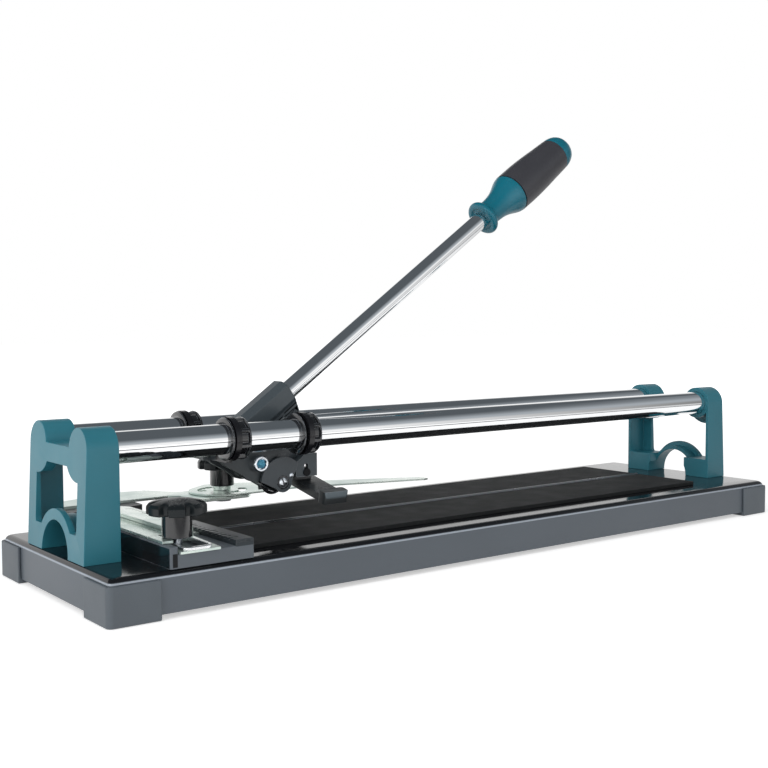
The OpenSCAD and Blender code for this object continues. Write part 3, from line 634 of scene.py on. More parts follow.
class Paint(Labelled):
    """Every finish of the cutter."""

    # The pale line along the bed's fold is a painted highlight.
    ENAMEL = Enamel("BedEnamel", (0.006, 0.0065, 0.008), (0.088, 0.104, 0.122), (0.09, 0.09, 0.095),
                    trim=(0.34, 0.38, 0.43), line=25.6 * MM)
    PAD = GritPad("PadGrit", (0.0095, 0.0105, 0.011), (0.045, 0.046, 0.05))
    FRAME = BandPaint("FramePaint", (0.04, 0.049, 0.054), (0.008, 0.008, 0.01), 18.2 * MM)
    FOOT_CAP = BandPaint("CapSlate", (0.02, 0.024, 0.026), (0.12, 0.15, 0.17), 44.7 * MM, 0.28)
    BAR = Metal("BarSteel", (0.36, 0.37, 0.39), (0.3, 0.31, 0.33), 0.25, 0.35, 1e-6)
    CHROME = Metal("RailChrome", (0.9, 0.91, 0.92), (0.88, 0.89, 0.9), 0.03, 0.045, 0.0, 12.0)
    BRIGHT = Metal("BrightZinc", (0.85, 0.89, 0.93), (0.76, 0.81, 0.87), 0.14, 0.22, 6e-7, 200.0)
    # Blue metal in the pivot bolt's socket: a painted reflection.
    SOCKET = Metal("SocketBlue", (0.1, 0.3, 0.42), (0.03, 0.14, 0.22), 0.2, 0.3, 0.0, 900.0)
    WHEEL = Metal("WheelCarbide", (0.6, 0.6, 0.63), (0.5, 0.5, 0.53), 0.18, 0.28, 1e-6, 120.0)
    RIM = Metal("RimBright", (0.95, 0.96, 0.97), (0.9, 0.91, 0.92), 0.2, 0.28, 0.0, 60.0)
    ZINC = Metal("ZincPlate", (0.8, 0.88, 0.82), (0.56, 0.68, 0.64), 0.24, 0.312, 6e-7, 26.0,
                 spacing=900.0, metallic=0.85)
    # In the mouldings below, the edge colour stands for wear and painted highlight.
    BOOT = Moulded("BootGrey", (0.086, 0.102, 0.118), (0.15, 0.165, 0.18), 0.5, 1400.0, 1.2e-5, 0.3)
    BRACKET = Moulded("BracketTeal", (0.022, 0.158, 0.208), (0.06, 0.24, 0.29), 0.42, 1500.0,
                      1.2e-5, 0.3)
    # Pale edges at full share on the black: painted highlight. This black also serves as painted
    # shade on the fence block, the wheel cover and the screw.
    BUSH = Moulded("BushBlack", (0.008, 0.0085, 0.01), (0.22, 0.24, 0.27), 0.17, 900.0, 2e-6, 1.0,
                   coat=0.8, coat_roughness=0.1)
    # Pale edges: painted highlight along the block's seams, with some wear.
    CASTING = Moulded("CastingSlate", (0.052, 0.066, 0.076), (0.4, 0.43, 0.45), 0.3, 1100.0,
                      1e-5, 0.8)
    # Pale edges: painted highlight round the cover, with some wear.
    COVER = Moulded("CoverSlate", (0.056, 0.068, 0.078), (0.34, 0.36, 0.38), 0.32, 1100.0,
                    8e-6, 0.3)
    FOOT = Moulded("FootBlack", (0.018, 0.021, 0.023), (0.1, 0.11, 0.12), 0.26, 1000.0, 6e-6, 0.3)
    RUBBER = Moulded("BumperRubber", (0.008, 0.009, 0.01), (0.03, 0.03, 0.03), 0.5, 1200.0,
                     2e-5, 0.2, specular=0.2)
    BLOCK = Moulded("BlockGraphite", (0.092, 0.108, 0.125), (0.2, 0.205, 0.22), 0.44, 1300.0,
                    1e-5, 0.35)
    REAR_BLOCK = Moulded("RearBlockBlack", (0.03, 0.031, 0.034), (0.09, 0.09, 0.1), 0.4, 1300.0,
                         1e-5, 0.3)
    KNOB = Moulded("KnobBlack", (0.0085, 0.0115, 0.013), (0.1, 0.1, 0.1), 0.3, 1500.0, 1.2e-5, 0.4,
                   specular=0.3)
    GRIP = Moulded("GripTeal", (0.0, 0.125, 0.18), (0.01, 0.16, 0.21), 0.3, 1200.0, 2e-6, 0.05)
    SLEEVE = Moulded("SleeveSoft", (0.04, 0.04, 0.047), (0.09, 0.09, 0.1), 0.36, 900.0, 1.2e-5, 0.1)
    # Pale edges: painted highlight along the strip's outline, with some wear.
    STRIP = Moulded("StripBlack", (0.022, 0.03, 0.036), (0.16, 0.16, 0.17), 0.3, 1300.0, 8e-6, 0.6,
                    specular=0.35)
    INK = Moulded("ScaleInk", (0.02, 0.024, 0.024), (0.02, 0.024, 0.024), 0.5, 800.0, 0.0, 0.0)

    def material(self) -> bpy.types.Material:
        """The finish's material, made the first time that it's asked for."""
        return bpy.data.materials.get(self.value.name) or self.value.build()


# ---------------------------------------------------------------- meshes


def spot(x: float, y: float, z: float) -> Matrix:
    """Moves to a place given in mm."""
    return Matrix.Translation(Vector((x, y, z)) * MM)


def turned(degrees: float, axis: str) -> Matrix:
    """Turns about "X", "Y" or "Z"."""
    return Matrix.Rotation(math.radians(degrees), 4, axis)


def facing_front(x: float, y: float, z: float) -> Matrix:
    """Puts a turned piece at a place in mm, its +X towards the front."""
    return spot(x, y, z) @ turned(-90, "Z")


def upright(x: float, y: float, z: float) -> Matrix:
    """Puts a turned piece at a place in mm, its +X upwards."""
    return spot(x, y, z) @ turned(-90, "Y")


def to_object(name: str, mesh: Mesh, body: str, material: bpy.types.Material) -> Piece:
    """Turns a bmesh into a piece that rides on a body.

    Args:
        name: name of the piece.
        mesh: its mesh, in the frame. It is freed.
        body: the CAD body that it moves with.
        material: its finish.

    Returns:
        The new object.
    """
    data = bpy.data.meshes.new(name)
    bmesh.ops.recalc_face_normals(mesh, faces=mesh.faces)
    mesh.to_mesh(data)
    mesh.free()
    piece = bpy.data.objects.new(name, data)
    bpy.context.scene.collection.objects.link(piece)
    data.materials.append(material)
    data.polygons.foreach_set("use_smooth", [True] * len(data.polygons))
    data.set_sharp_from_angle(angle=math.radians(32))
    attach(piece, body)
    return piece


def lathe(profile: Sequence[Pair], steps: int, place: Matrix) -> Mesh:
    """Turns a profile round the X axis.

    Args:
        profile: places along X and radii in mm, in order. It is a closed loop where neither end
            has radius 0.
        steps: steps round the axis.
        place: puts the turned shape in the frame.

    Returns:
        The mesh.
    """
    mesh = bmesh.new()
    rings = []
    for along, radius in profile:
        x, r = along * MM, radius * MM
        if radius <= 0.0:
            rings.append([mesh.verts.new(place @ Vector((x, 0.0, 0.0)))] * steps)
            continue
        turns = [2.0 * math.pi * i / steps for i in range(steps)]
        rings.append([mesh.verts.new(place @ Vector((x, r * math.cos(t), r * math.sin(t))))
                      for t in turns])
    closed = profile[0][1] > 0.0 and profile[-1][1] > 0.0
    for first, second in zip(rings, rings[1:] + rings[:1] if closed else rings[1:]):
        for i in range(steps):
            k = (i + 1) % steps
            mesh.faces.new(list(dict.fromkeys((first[i], first[k], second[k], second[i]))))
    return mesh


def loft(loops: Sequence[Sequence[Vector]], capped: bool) -> Mesh:
    """Joins loops of equal count into a skin.

    Args:
        loops: the loops in mm, in order.
        capped: closes the first and last loop by a face; otherwise last joins first.

    Returns:
        The mesh, in metres.
    """
    mesh = bmesh.new()
    rows = [[mesh.verts.new(point * MM) for point in loop] for loop in loops]
    for first, second in zip(rows, rows[1:] if capped else rows[1:] + rows[:1]):
        for i in range(len(first)):
            k = (i + 1) % len(first)
            mesh.faces.new((first[i], first[k], second[k], second[i]))
    if capped:
        mesh.faces.new(rows[0])
        mesh.faces.new(rows[-1])
    return mesh


def prism(outline: Sequence[Pair], span: Pair, axis: str) -> Mesh:
    """Pushes an outline along an axis.

    Args:
        outline: its corners in mm, in the plane of the two other axes, in the order X, Y, Z.
        span: where it starts and ends along the axis, in mm.
        axis: "x", "y" or "z".

    Returns:
        The closed mesh.
    """
    spare = "xyz".index(axis)
    loops = []
    for along in span:
        corners = [list(pair) for pair in outline]
        for corner in corners:
            corner.insert(spare, along)
        loops.append([Vector(corner) for corner in corners])
    return loft(loops, capped=True)


def box(x: Pair, y: Pair, z: Pair) -> Mesh:
    """A closed box that spans three ranges in mm."""
    return prism([(x[0], y[0]), (x[1], y[0]), (x[1], y[1]), (x[0], y[1])], z, "z")


def frame_ring(outer: Sequence[Pair], inner: Sequence[Pair], low: float, high: float) -> Mesh:
    """A wall between two outlines of equal count, from one height to another, in mm."""
    order = ((outer, low), (outer, high), (inner, high), (inner, low))
    return loft([[Vector((x, y, z)) for x, y in outline] for outline, z in order], capped=False)


def joined(meshes: Sequence[Mesh], turn: Matrix | None = None) -> Mesh:
    """Puts several closed meshes in one.

    Args:
        meshes: the meshes. They are freed.
        turn: moves the whole, if given.

    Returns:
        The mesh of all.
    """
    whole = bmesh.new()
    for mesh in meshes:
        data = bpy.data.meshes.new("part")
        mesh.to_mesh(data)
        mesh.free()
        whole.from_mesh(data)
        bpy.data.meshes.remove(data)
    if turn is not None:
        whole.transform(turn)
    return whole


def rounded_loop(length: float, width: float, radius: float, height: float) -> list[Vector]:
    """A level rectangle with round corners.

    Args:
        length: its size along X.
        width: its size along Y.
        radius: radius of its corners.
        height: its place along Z.

    Returns:
        Its points, anticlockwise from the -Y end of the right side.
    """
    points = []
    for turn, sx, sy in ((-90, 1, -1), (0, 1, 1), (90, -1, 1), (180, -1, -1)):
        middle = Vector((sx * (length / 2 - radius), sy * (width / 2 - radius), height))
        for i in range(CORNER_STEPS + 1):
            angle = math.radians(turn + 90.0 * i / CORNER_STEPS)
            points.append(middle + radius * Vector((math.cos(angle), math.sin(angle), 0.0)))
    return points


@dataclass(frozen=True)
class Easing:
    """Rounding of the sharp edges of a piece.

    Attributes:
        width: width of the rounding in mm.
        segments: steps across it.
        angle: edges sharper than this are rounded, in degrees.
    """

    width: float
    segments: int = 3
    angle: float = 34.0

    def on(self, piece: Piece) -> None:
        """Rounds a piece.

        Args:
            piece: the piece that gets the modifier.
        """
        rounding = piece.modifiers.new("eased_edges", "BEVEL")
        rounding.width = self.width * MM
        rounding.segments = self.segments
        rounding.limit_method = "ANGLE"
        rounding.angle_limit = math.radians(self.angle)
        rounding.harden_normals = True
        rounding.miter_outer = "MITER_ARC"


@dataclass
class Builder:
    """Makes the pieces of the cutter from the frame.

    Attributes:
    """

    frame: dict

    def add(self, name: str, mesh: Mesh, like: str, paint: Paint, easing: Easing | None = None,
            instead: bool = False) -> None:
        """Adds a piece that rides with a CAD node.

        Args:
            name: name of the piece.
            mesh: its mesh, in the frame.
            like: the CAD node whose body and slot it takes.
            paint: its finish.
            easing: how its edges are rounded, if they are.
            instead: True if it stands for that node.
        """
        body = body_of(self.frame["nodes"][like])[0]
        piece = to_object(name, mesh, body, paint.material())
        if easing:
            easing.on(piece)
        if instead:
            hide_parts(like)
        LOG.info("%s: built, %s", name, paint.label)

    def ease(self, paint: Paint, easing: Easing, *nodes: str) -> None:
        """Replaces CAD nodes by copies whose sharp edges are rounded.

        Args:
            paint: their finish.
            easing: how their edges are rounded.
            nodes: the CAD nodes.
        """
        for node in nodes:
            mesh = self.copy_of(node)
            bmesh.ops.dissolve_limit(mesh, angle_limit=math.radians(0.6), verts=mesh.verts,
                                     edges=mesh.edges, delimit={"NORMAL"})
            self.add(node + "_eased", mesh, node, paint, easing, instead=True)

    def paint(self, paint: Paint, *nodes: str) -> None:
        """Dresses CAD nodes as they are.

        Args:
            paint: their finish.
            nodes: the CAD nodes.
        """
        for node in nodes:
            slots = self.frame["nodes"][node].data.materials
            slots.clear()
            slots.append(paint.material())
            LOG.info("%s: painted, %s", node, paint.label)

    def copy_of(self, node: str) -> Mesh:
        """A copy of a CAD node's mesh, its doubled corners joined.

        Args:
            node: the CAD node.

        Returns:
            The copy.
        """
        mesh = bmesh.new()
        mesh.from_mesh(self.frame["nodes"][node].data)
        bmesh.ops.remove_doubles(mesh, verts=mesh.verts, dist=2e-6)
        return mesh


# ---------------------------------------------------------------- the cutter


@dataclass
class Bed:
    """The pressed bed, its corner boots, pads and breaking bar. Sizes are in mm.

    Attributes:
        builder: makes the pieces.
        length: size of the tray along X.
        width: size of the tray along Y.
        low: lower edge of its skirt.
        high: its top.
        sheet: thickness of the sheet.
        fold: outer radius of the fold.
        corner: radius of its corners seen from above.
        sharpest: least radius of a corner.
        boot_easing: rounding of the boots.
        pad_easing: rounding of the pads.
    """

    builder: Builder
    length: float = 616.0
    width: float = 174.0
    low: float = 3.0
    high: float = 28.0
    sheet: float = 1.5
    fold: float = 4.0
    corner: float = 3.0
    sharpest: float = 0.4
    boot_easing: Easing = Easing(0.8)
    pad_easing: Easing = Easing(0.5)

    def build(self) -> None:
        """Dresses the bed."""
        make = self.builder
        make.add("bed_shell", self._shell(), "bed", Paint.ENAMEL, instead=True)
        boots = [f"boot_{side.label}_{end.label}" for side in Side for end in End]
        make.ease(Paint.BOOT, self.boot_easing, *boots)
        make.ease(Paint.PAD, self.pad_easing, "front_pad", "rear_pad")
        make.paint(Paint.BAR, "breaking_bar")
        make.paint(Paint.BRIGHT, "bracket_screws", "fence_screws")

    def _shell(self) -> Mesh:
        """The tray, open below.

        Returns:
            A skin that climbs the skirt, turns the fold and comes back inside.
        """
        inside = 2 * self.sheet
        loops = [rounded_loop(self.length, self.width, self.corner, self.low)]
        loops += self._fold(self.fold, 0.0, 16)
        loops += reversed(self._fold(self.fold - self.sheet, self.sheet, 8))
        loops.append(rounded_loop(self.length - inside, self.width - inside,
                                  self.corner - self.sheet, self.low))
        return loft(loops, capped=False)

    def _fold(self, radius: float, inset: float, steps: int) -> list[list[Vector]]:
        """One face of the fold and of the top.

        Args:
            radius: radius of the fold.
            inset: depth of the face below the outer one.
            steps: steps round the fold.

        Returns:
            Loops that turn the fold and close in on the middle of the top.
        """
        loops = []
        for i in range(steps + 1):
            angle = math.radians(90.0 * i / steps)
            back = inset + radius * (1.0 - math.cos(angle))
            height = self.high - inset - radius * (1.0 - math.sin(angle))
            corner = max(self.corner - inset + radius * math.cos(angle) - radius, self.sharpest)
            corner += back - inset
            length, width = self.length - 2 * back, self.width - 2 * back
            loops.append(rounded_loop(length, width, corner, height))
        last = loops[-1]
        middle = Vector((0.0, 0.0, self.high - inset))
        for share in (0.5, 0.02):
            loops.append([middle.lerp(point, share) for point in last])
        return loops


@dataclass(frozen=True)
class Rail:
    """Sizes and places of the two guide rails, in mm.

    Attributes:
        radius: outer radius.
        bore: radius of the bore.
        end: place of its ends along X, on either side.
        y: distance of its axis from the line of the cut.
        z: height of its axis.
        chamfer: chamfer of its ends.
    """

    radius: float = 10.0
    bore: float = 8.5
    end: float = 300.5
    y: float = 32.5
    z: float = 95.5
    chamfer: float = 0.5

    def tube(self, side: Side) -> Mesh:
        """The rail of one side.

        Args:
            side: front or rear.

        Returns:
            The tube with chamfered ends.
        """
        x, r, c = self.end, self.radius, self.chamfer
        wall = [(-x, self.bore), (-x, r - c), (-x + c, r), (x - c, r), (x, r - c), (x, self.bore)]
        return lathe(wall, 144, spot(0.0, side.value * self.y, self.z))


@dataclass
class RailFrame:
    """The two end brackets and the two guide rails.

    Attributes:
        builder: makes the pieces.
        rail: sizes of the rails.
        bracket_easing: rounding of the brackets.
    """

    builder: Builder
    rail: Rail = Rail()
    bracket_easing: Easing = Easing(1.8, 5)

    def build(self) -> None:
        """Dresses the brackets and the rails."""
        brackets = [f"{end.label}_bracket" for end in End]
        self.builder.ease(Paint.BRACKET, self.bracket_easing, *brackets)
        for side in Side:
            node = f"{side.label}_rail"
            self.builder.add(node + "_tube", self.rail.tube(side), node, Paint.CHROME, instead=True)


@dataclass(frozen=True)
class Bush:
    """A rail bush with lips, a groove for the frame's ring and a row of sunk pockets, in mm.

    Attributes:
        left: place of its left end along X.
        groove: start and end of its groove, from its left end.
        radius: its outer radius.
        length: its length.
        play: clearance on the rail.
        groove_depth: depth of the groove.
        pockets: number of pockets.
        pocket_depth: their depth.
        pocket_turn: turn of the row of pockets, in radians.
        pocket_rim: where a pocket's side starts, from 0 at the middle of a bar to 1.
        pocket_side: width of that side, in the same measure.
        ledge: depth of the step inside each pocket.
        steps: steps round the ring.
    """

    left: float
    groove: Pair
    radius: float = 14.0
    length: float = 14.0
    play: float = 0.06
    groove_depth: float = 2.6
    pockets: int = 8
    pocket_depth: float = 1.7
    pocket_turn: float = 0.4
    pocket_rim: float = 0.34
    pocket_side: float = 0.12
    ledge: float = 0.9
    steps: int = 160

    def mesh(self, rail: Rail, side: Side) -> Mesh:
        """The bush on one rail.

        Args:
            rail: sizes of the rails.
            side: the rail that it slides on.

        Returns:
            The closed ring.
        """
        r, ledge, deep = self.radius, self.ledge, self.pocket_depth
        bore, sunk = rail.radius + self.play, self.radius - self.groove_depth
        first, last = self.groove
        start, stop, end = last + 0.7, self.length - 1.2, self.length
        rows = [(0.0, bore, 0.0), (0.0, r - 0.7, 0.0), (0.25, r - 0.2, 0.0), (0.7, r, 0.0)]
        rows += [(first - 0.3, r, 0.0), (first, sunk, 0.0), (last, sunk, 0.0), (last + 0.3, r, 0.0)]
        rows += [(start, r, 0.0), (start + 0.5, r, ledge), (start + 0.9, r, deep)]
        rows += [(stop - 0.9, r, deep), (stop - 0.5, r, ledge), (stop, r, 0.0)]
        rows += [(end - 0.7, r, 0.0), (end - 0.25, r - 0.2, 0.0), (end, r - 0.7, 0.0)]
        rows.append((end, bore, 0.0))
        middle = Vector((self.left, side.value * rail.y, rail.z))
        return loft([self._loop(middle, *row) for row in rows], capped=False)

    def _loop(self, middle: Vector, x: float, radius: float, depth: float) -> list[Vector]:
        """One loop round the bush.

        Args:
            middle: middle of its left end.
            x: distance from its left end.
            radius: radius between the pockets.
            depth: depth of the pockets here.

        Returns:
            The loop's points.
        """
        points = []
        for i in range(self.steps):
            turn = 2.0 * math.pi * i / self.steps
            near = abs(math.cos(self.pockets * turn / 2.0 + self.pocket_turn))
            r = radius - depth * min(max((near - self.pocket_rim) / self.pocket_side, 0.0), 1.0)
            points.append(middle + Vector((x, r * math.cos(turn), r * math.sin(turn))))
        return points


@dataclass
class Carriage:
    """The sliding carriage: its frame, rail bushes and pivot bolt.

    Attributes:
        builder: makes the pieces.
        rail: sizes of the rails.
        bushes: the bush at each end.
        frame_easing: rounding of the frame.
        socket_y: place of the bottom of the bolt's socket along Y, in mm.
    """

    builder: Builder
    rail: Rail = Rail()
    bushes: tuple[Bush, Bush] = (Bush(-204.3, (1.4, 5.0)), Bush(-149.6, (1.1, 6.3)))
    frame_easing: Easing = Easing(0.5)
    socket_y: float = -16.2

    def build(self) -> None:
        """Dresses the carriage."""
        make = self.builder
        make.ease(Paint.FRAME, self.frame_easing, "carriage_frame")
        for side in Side:
            for end, bush in zip(End, self.bushes):
                node = f"bush_{side.label}_{end.label}"
                make.add(node + "_ring", bush.mesh(self.rail, side), node, Paint.BUSH, instead=True)
        make.add("pivot_bolt_head", self._bolt(), "pivot_bolt", Paint.BRIGHT, instead=True)
        make.paint(Paint.BRIGHT, "pivot_sleeve", "pivot_nut")
        # A blue dish in the bolt's socket: painted reflection.
        make.add("bolt_socket", self._socket(), "pivot_bolt", Paint.SOCKET)

    def _bolt(self) -> Mesh:
        """The pivot bolt.

        Returns:
            Its shank and a cheese head with a round-edged rim about the socket.
        """
        bolt = [(-17.8, 0.0), (-17.8, 3.9), (14.0, 3.9), (14.0, 5.7), (17.2, 5.7), (17.7, 5.5)]
        bolt += [(18.0, 5.1), (18.1, 4.6), (18.0, 3.9), (17.6, 3.6), (15.6, 3.5), (15.4, 0.0)]
        return lathe(bolt, 64, facing_front(PIVOT.x, 0.0, PIVOT.z))

    def _socket(self) -> Mesh:
        """Dished bottom of the hexagonal socket, blue as a painted reflection."""
        dish = [(0.1, 0.0), (0.5, 1.4), (0.9, 3.3), (-0.6, 3.3), (-0.6, 0.0)]
        return lathe(dish, 6, facing_front(PIVOT.x, self.socket_y, PIVOT.z))


@dataclass(frozen=True)
class Grip:
    """The three turned pieces of the handle. Lengths are in mm.

    Attributes:
        start: place of its lip along the rod.
        bore: radius of its bore.
        front: length of the front piece.
        sleeve: length of the soft sleeve.
        cap: length of the end cap.
        lip_r: radius of the lip.
        round_r: radius of the lip's edge.
        neck_r: radius behind the lip.
        swell_r: radius where the front piece meets the sleeve.
        tail_r: radius where the sleeve meets the cap.
    """

    start: float = 278.9
    bore: float = 6.8
    front: float = 39.0
    sleeve: float = 60.5
    cap: float = 13.5
    lip_r: float = 14.1
    round_r: float = 2.6
    neck_r: float = 9.9
    swell_r: float = 16.6
    tail_r: float = 14.3

    def front_profile(self) -> list[Pair]:
        """Profile of the front piece.

        Returns:
            The lip, the neck and the flare up to the sleeve.
        """
        bore, neck, swell, end = self.bore, self.neck_r, self.swell_r, self.front
        edge, curl = self.lip_r - self.round_r, self.round_r
        rows = [(1.4, bore), (1.4, bore + 1.9), (0.7, bore + 2.6), (0.0, bore + 3.2)]
        turns = [math.radians(angle) for angle in range(-80, 91, 10)]
        rows += [(curl + curl * math.sin(turn), edge + curl * math.cos(turn)) for turn in turns]
        for i in range(25):
            x = 8.0 + (end - 8.6) * i / 24
            share = min((x + 3.0) / (end + 3.0), 1.0) ** 2.6
            rows.append((x, neck + (swell - neck) * share * share * (3.0 - 2.0 * share)))
        return rows + [(end - 0.25, swell - 0.2), (end, swell - 0.9), (end, bore)]

    def sleeve_profile(self) -> list[Pair]:
        """Profile of the sleeve.

        Returns:
            A little swell that narrows to the cap.
        """
        start, end = self.front, self.front + self.sleeve
        rows = [(start, self.bore), (start, self.swell_r - 1.3), (start + 0.5, self.swell_r - 1.2)]
        for i in range(41):
            share = i / 40
            swell = 0.35 * math.sin(math.pi * min(share / 0.75, 1.0))
            radius = self.swell_r + (self.tail_r - self.swell_r) * share ** 1.8 + swell
            rows.append((start + 0.55 + (self.sleeve - 1.1) * share, radius + 0.15))
        return rows + [(end - 0.5, self.tail_r - 1.0), (end, self.tail_r - 1.1), (end, self.bore)]

    def cap_profile(self) -> list[Pair]:
        """Profile of the end cap.

        Returns:
            A spigot inside the sleeve and a full dome.
        """
        start, r = self.front + self.sleeve, self.tail_r
        rows = [(start - 2.0, 0.0), (start - 2.0, r - 1.4), (start, r - 1.4)]
        rows.append((start + 0.1, r - 0.4))
        for i in range(1, 18):
            turn = math.radians(5.0 * i)
            x = start + 0.5 + (self.cap - 0.5) * math.sin(turn)
            rows.append((x, r * math.cos(turn) ** 0.55))
        return rows + [(start + self.cap, 0.0)]


@dataclass
class Lever:
    """The lever: casting, rod, grip, scoring wheel and breaker foot. Sizes are in mm.

    Attributes:
        builder: makes the pieces.
        angle: rise of the rod in degrees.
        offset: distance of the rod's axis from the pivot.
        rod_radius: its radius.
        rod_start: place of its lower end along the axis.
        rod_end: place of its upper end.
        chamfer: chamfer of its ends.
        block: start and end of the casting's block along the rod.
        block_half: half of the block's width.
        block_top: height of the block above the rod's axis.
        body_half: half of the casting's thickness.
        cut: height above the pivot where the block takes over from the hub.
        wheel_at: place of the wheel's axle from the pivot, along X and Z.
        rivet_at: place of the cover's rivet from the pivot.
        grip: the handle.
    """

    builder: Builder
    angle: float = 35.1
    offset: float = 20.2
    rod_radius: float = 6.75
    rod_start: float = 18.4
    rod_end: float = 360.0
    chamfer: float = 0.5
    block: Pair = (4.4, 52.4)
    block_half: float = 9.0
    block_top: float = 10.9
    body_half: float = 7.0
    cut: float = 10.2
    wheel_at: Pair = (19.2, -14.7)
    rivet_at: Pair = (25.8, -10.2)
    grip: Grip = Grip()

    def build(self) -> None:
        """Dresses the lever."""
        make = self.builder
        self._casting()
        make.ease(Paint.COVER, Easing(0.4), "wheel_cover")
        make.ease(Paint.FOOT, Easing(0.6), "breaker_foot")
        make.ease(Paint.FOOT_CAP, Easing(1.0), "foot_cap_front", "foot_cap_rear")
        make.add("lever_rod_bar", self._rod(), "lever_rod", Paint.CHROME, instead=True)
        self._grip()
        make.paint(Paint.WHEEL, "scoring_wheel")
        make.paint(Paint.BRIGHT, "wheel_nut")
        self._fasteners()
        make.paint(Paint.RUBBER, "foot_pin")

    def _lean(self) -> Matrix:
        """Turns +X along the rod, with the origin on the pivot."""
        return spot(*PIVOT) @ turned(-self.angle, "Y")

    def _along(self) -> Matrix:
        """Turns +X along the rod, with the origin on its axis beside the pivot."""
        return self._lean() @ spot(0.0, 0.0, self.offset)

    def _from_pivot(self, outline: Sequence[Pair]) -> list[Pair]:
        """An outline about the pivot, in the frame."""
        return [(PIVOT.x + x, PIVOT.z + z) for x, z in outline]

    def _casting(self) -> None:
        """Builds the casting: the node's hub and clevis below a new web, neck and block."""
        make, half, node, paint = self.builder, self.body_half, "lever_casting", Paint.CASTING
        make.add("casting_hub", self._hub(), node, paint, Easing(0.4, 2), instead=True)
        web = [(25, 37), (35.2, 43), (38, 33), (49.1, 3.6), (49.1, -2), (43.1, -2)]
        web += [(31.5, 30), (24, 29)]
        core = [(-2, 9), (26, 33), (38, 28), (46.1, 2.6), (35, -0.5), (19.2, -14.7)]
        sides = [prism(self._from_pivot(web), (-half, half), "y"),
                 prism(self._from_pivot(core), (-4.0, 4.0), "y")]
        make.add("casting_web", joined(sides), node, paint, Easing(0.8))
        neck = joined([box((-7.0, 20.0), (-half, half), (0.0, 12.0))], self._lean())
        make.add("casting_neck", neck, node, paint, Easing(0.8))
        make.add("casting_block", self._block(), node, paint, Easing(0.7, 4, 20.0))

    def _hub(self) -> Mesh:
        """The casting's lower part, as the node has it.

        Returns:
            The node's mesh, cut off and closed above the pivot.
        """
        hub = self.builder.copy_of("lever_casting")
        up = turned(-self.angle, "Y") @ Vector((0.0, 0.0, 1.0))
        every = hub.verts[:] + hub.edges[:] + hub.faces[:]
        found = bmesh.ops.bisect_plane(hub, geom=every, plane_co=(PIVOT + up * self.cut) * MM,
                                       plane_no=up, clear_outer=True)
        rim = [edge for edge in found["geom_cut"] if isinstance(edge, bmesh.types.BMEdge)]
        bmesh.ops.holes_fill(hub, edges=rim)
        return hub

    def _block(self) -> Mesh:
        """The faceted block that holds the rod.

        Returns:
            The closed block, its heel cut back.
        """
        w, top, half = self.block_half, self.block_top, self.body_half
        section = [(w / 2, top), (w, top - 3.9), (w, -4.0), (half, -7.0), (half, -9.0)]
        section += [(-y, z) for y, z in reversed(section)]
        start, end = self.block
        stations = ((start, 5.5), (start + 5.2, top), (end - 1.0, top), (end, top - 1.0))
        loops = [[Vector((x, y, min(z, limit))) for y, z in section] for x, limit in stations]
        return joined([loft(loops, capped=True)], self._along())

    def _rod(self) -> Mesh:
        """The chromed rod.

        Returns:
            The rod, its ends chamfered.
        """
        start, end, r, c = self.rod_start, self.rod_end, self.rod_radius, self.chamfer
        bar = [(start, 0.0), (start, r - c), (start + c, r), (end - c, r), (end, r - c), (end, 0.0)]
        return lathe(bar, 128, self._along())

    def _grip(self) -> None:
        """Builds the handle."""
        place = self._along() @ spot(self.grip.start, 0.0, 0.0)
        rows = (("grip_front", self.grip.front_profile(), Paint.GRIP),
                ("grip_sleeve", self.grip.sleeve_profile(), Paint.SLEEVE),
                ("grip_cap", self.grip.cap_profile(), Paint.GRIP))
        for node, profile, paint in rows:
            piece = lathe(profile, 144, place)
            self.builder.add(node + "_turned", piece, node, paint, instead=True)

    def _fasteners(self) -> None:
        """Builds the wheel's screw, with a black ring round it and a black bar across it as painted
        shade of its recess and slot, and the cover's rivet.
        """
        make = self.builder
        (x, z), (rivet_x, rivet_z) = self._from_pivot([self.wheel_at, self.rivet_at])
        wheel = facing_front(x, 0.0, z)
        screw = [(-12.4, 0.0), (-12.4, 2.9), (13.4, 2.9), (13.4, 3.4), (14.4, 3.4), (14.9, 2.7)]
        screw = lathe(screw + [(15.1, 1.6), (15.2, 0.0)], 48, wheel)
        make.add("wheel_screw_turned", screw, "wheel_screw", Paint.BRIGHT, instead=True)
        # A black ring round the screw: painted shade of its recess.
        recess = lathe([(14.2, 3.5), (14.9, 3.7), (14.9, 4.7), (14.4, 5.1), (14.2, 5.1)], 48, wheel)
        make.add("cover_recess", recess, "wheel_cover", Paint.BUSH)
        # A black bar across the screw's head: painted shade of its slot.
        slot = box((-3.0, 3.0), (-15.3, -14.8), (-0.45, 0.45))
        slot = joined([slot], spot(x, 0.0, z) @ turned(65, "Y"))
        make.add("screw_slot", slot, "wheel_screw", Paint.BUSH)
        pin = [(4.0, 0.0), (4.0, 1.4), (14.6, 1.4), (14.6, 1.8), (15.0, 1.6), (15.3, 0.9)]
        pin.append((15.35, 0.0))
        rivet = lathe(pin, 32, facing_front(rivet_x, 0.0, rivet_z))
        make.add("cover_rivet_turned", rivet, "cover_rivet", Paint.BRIGHT, instead=True)


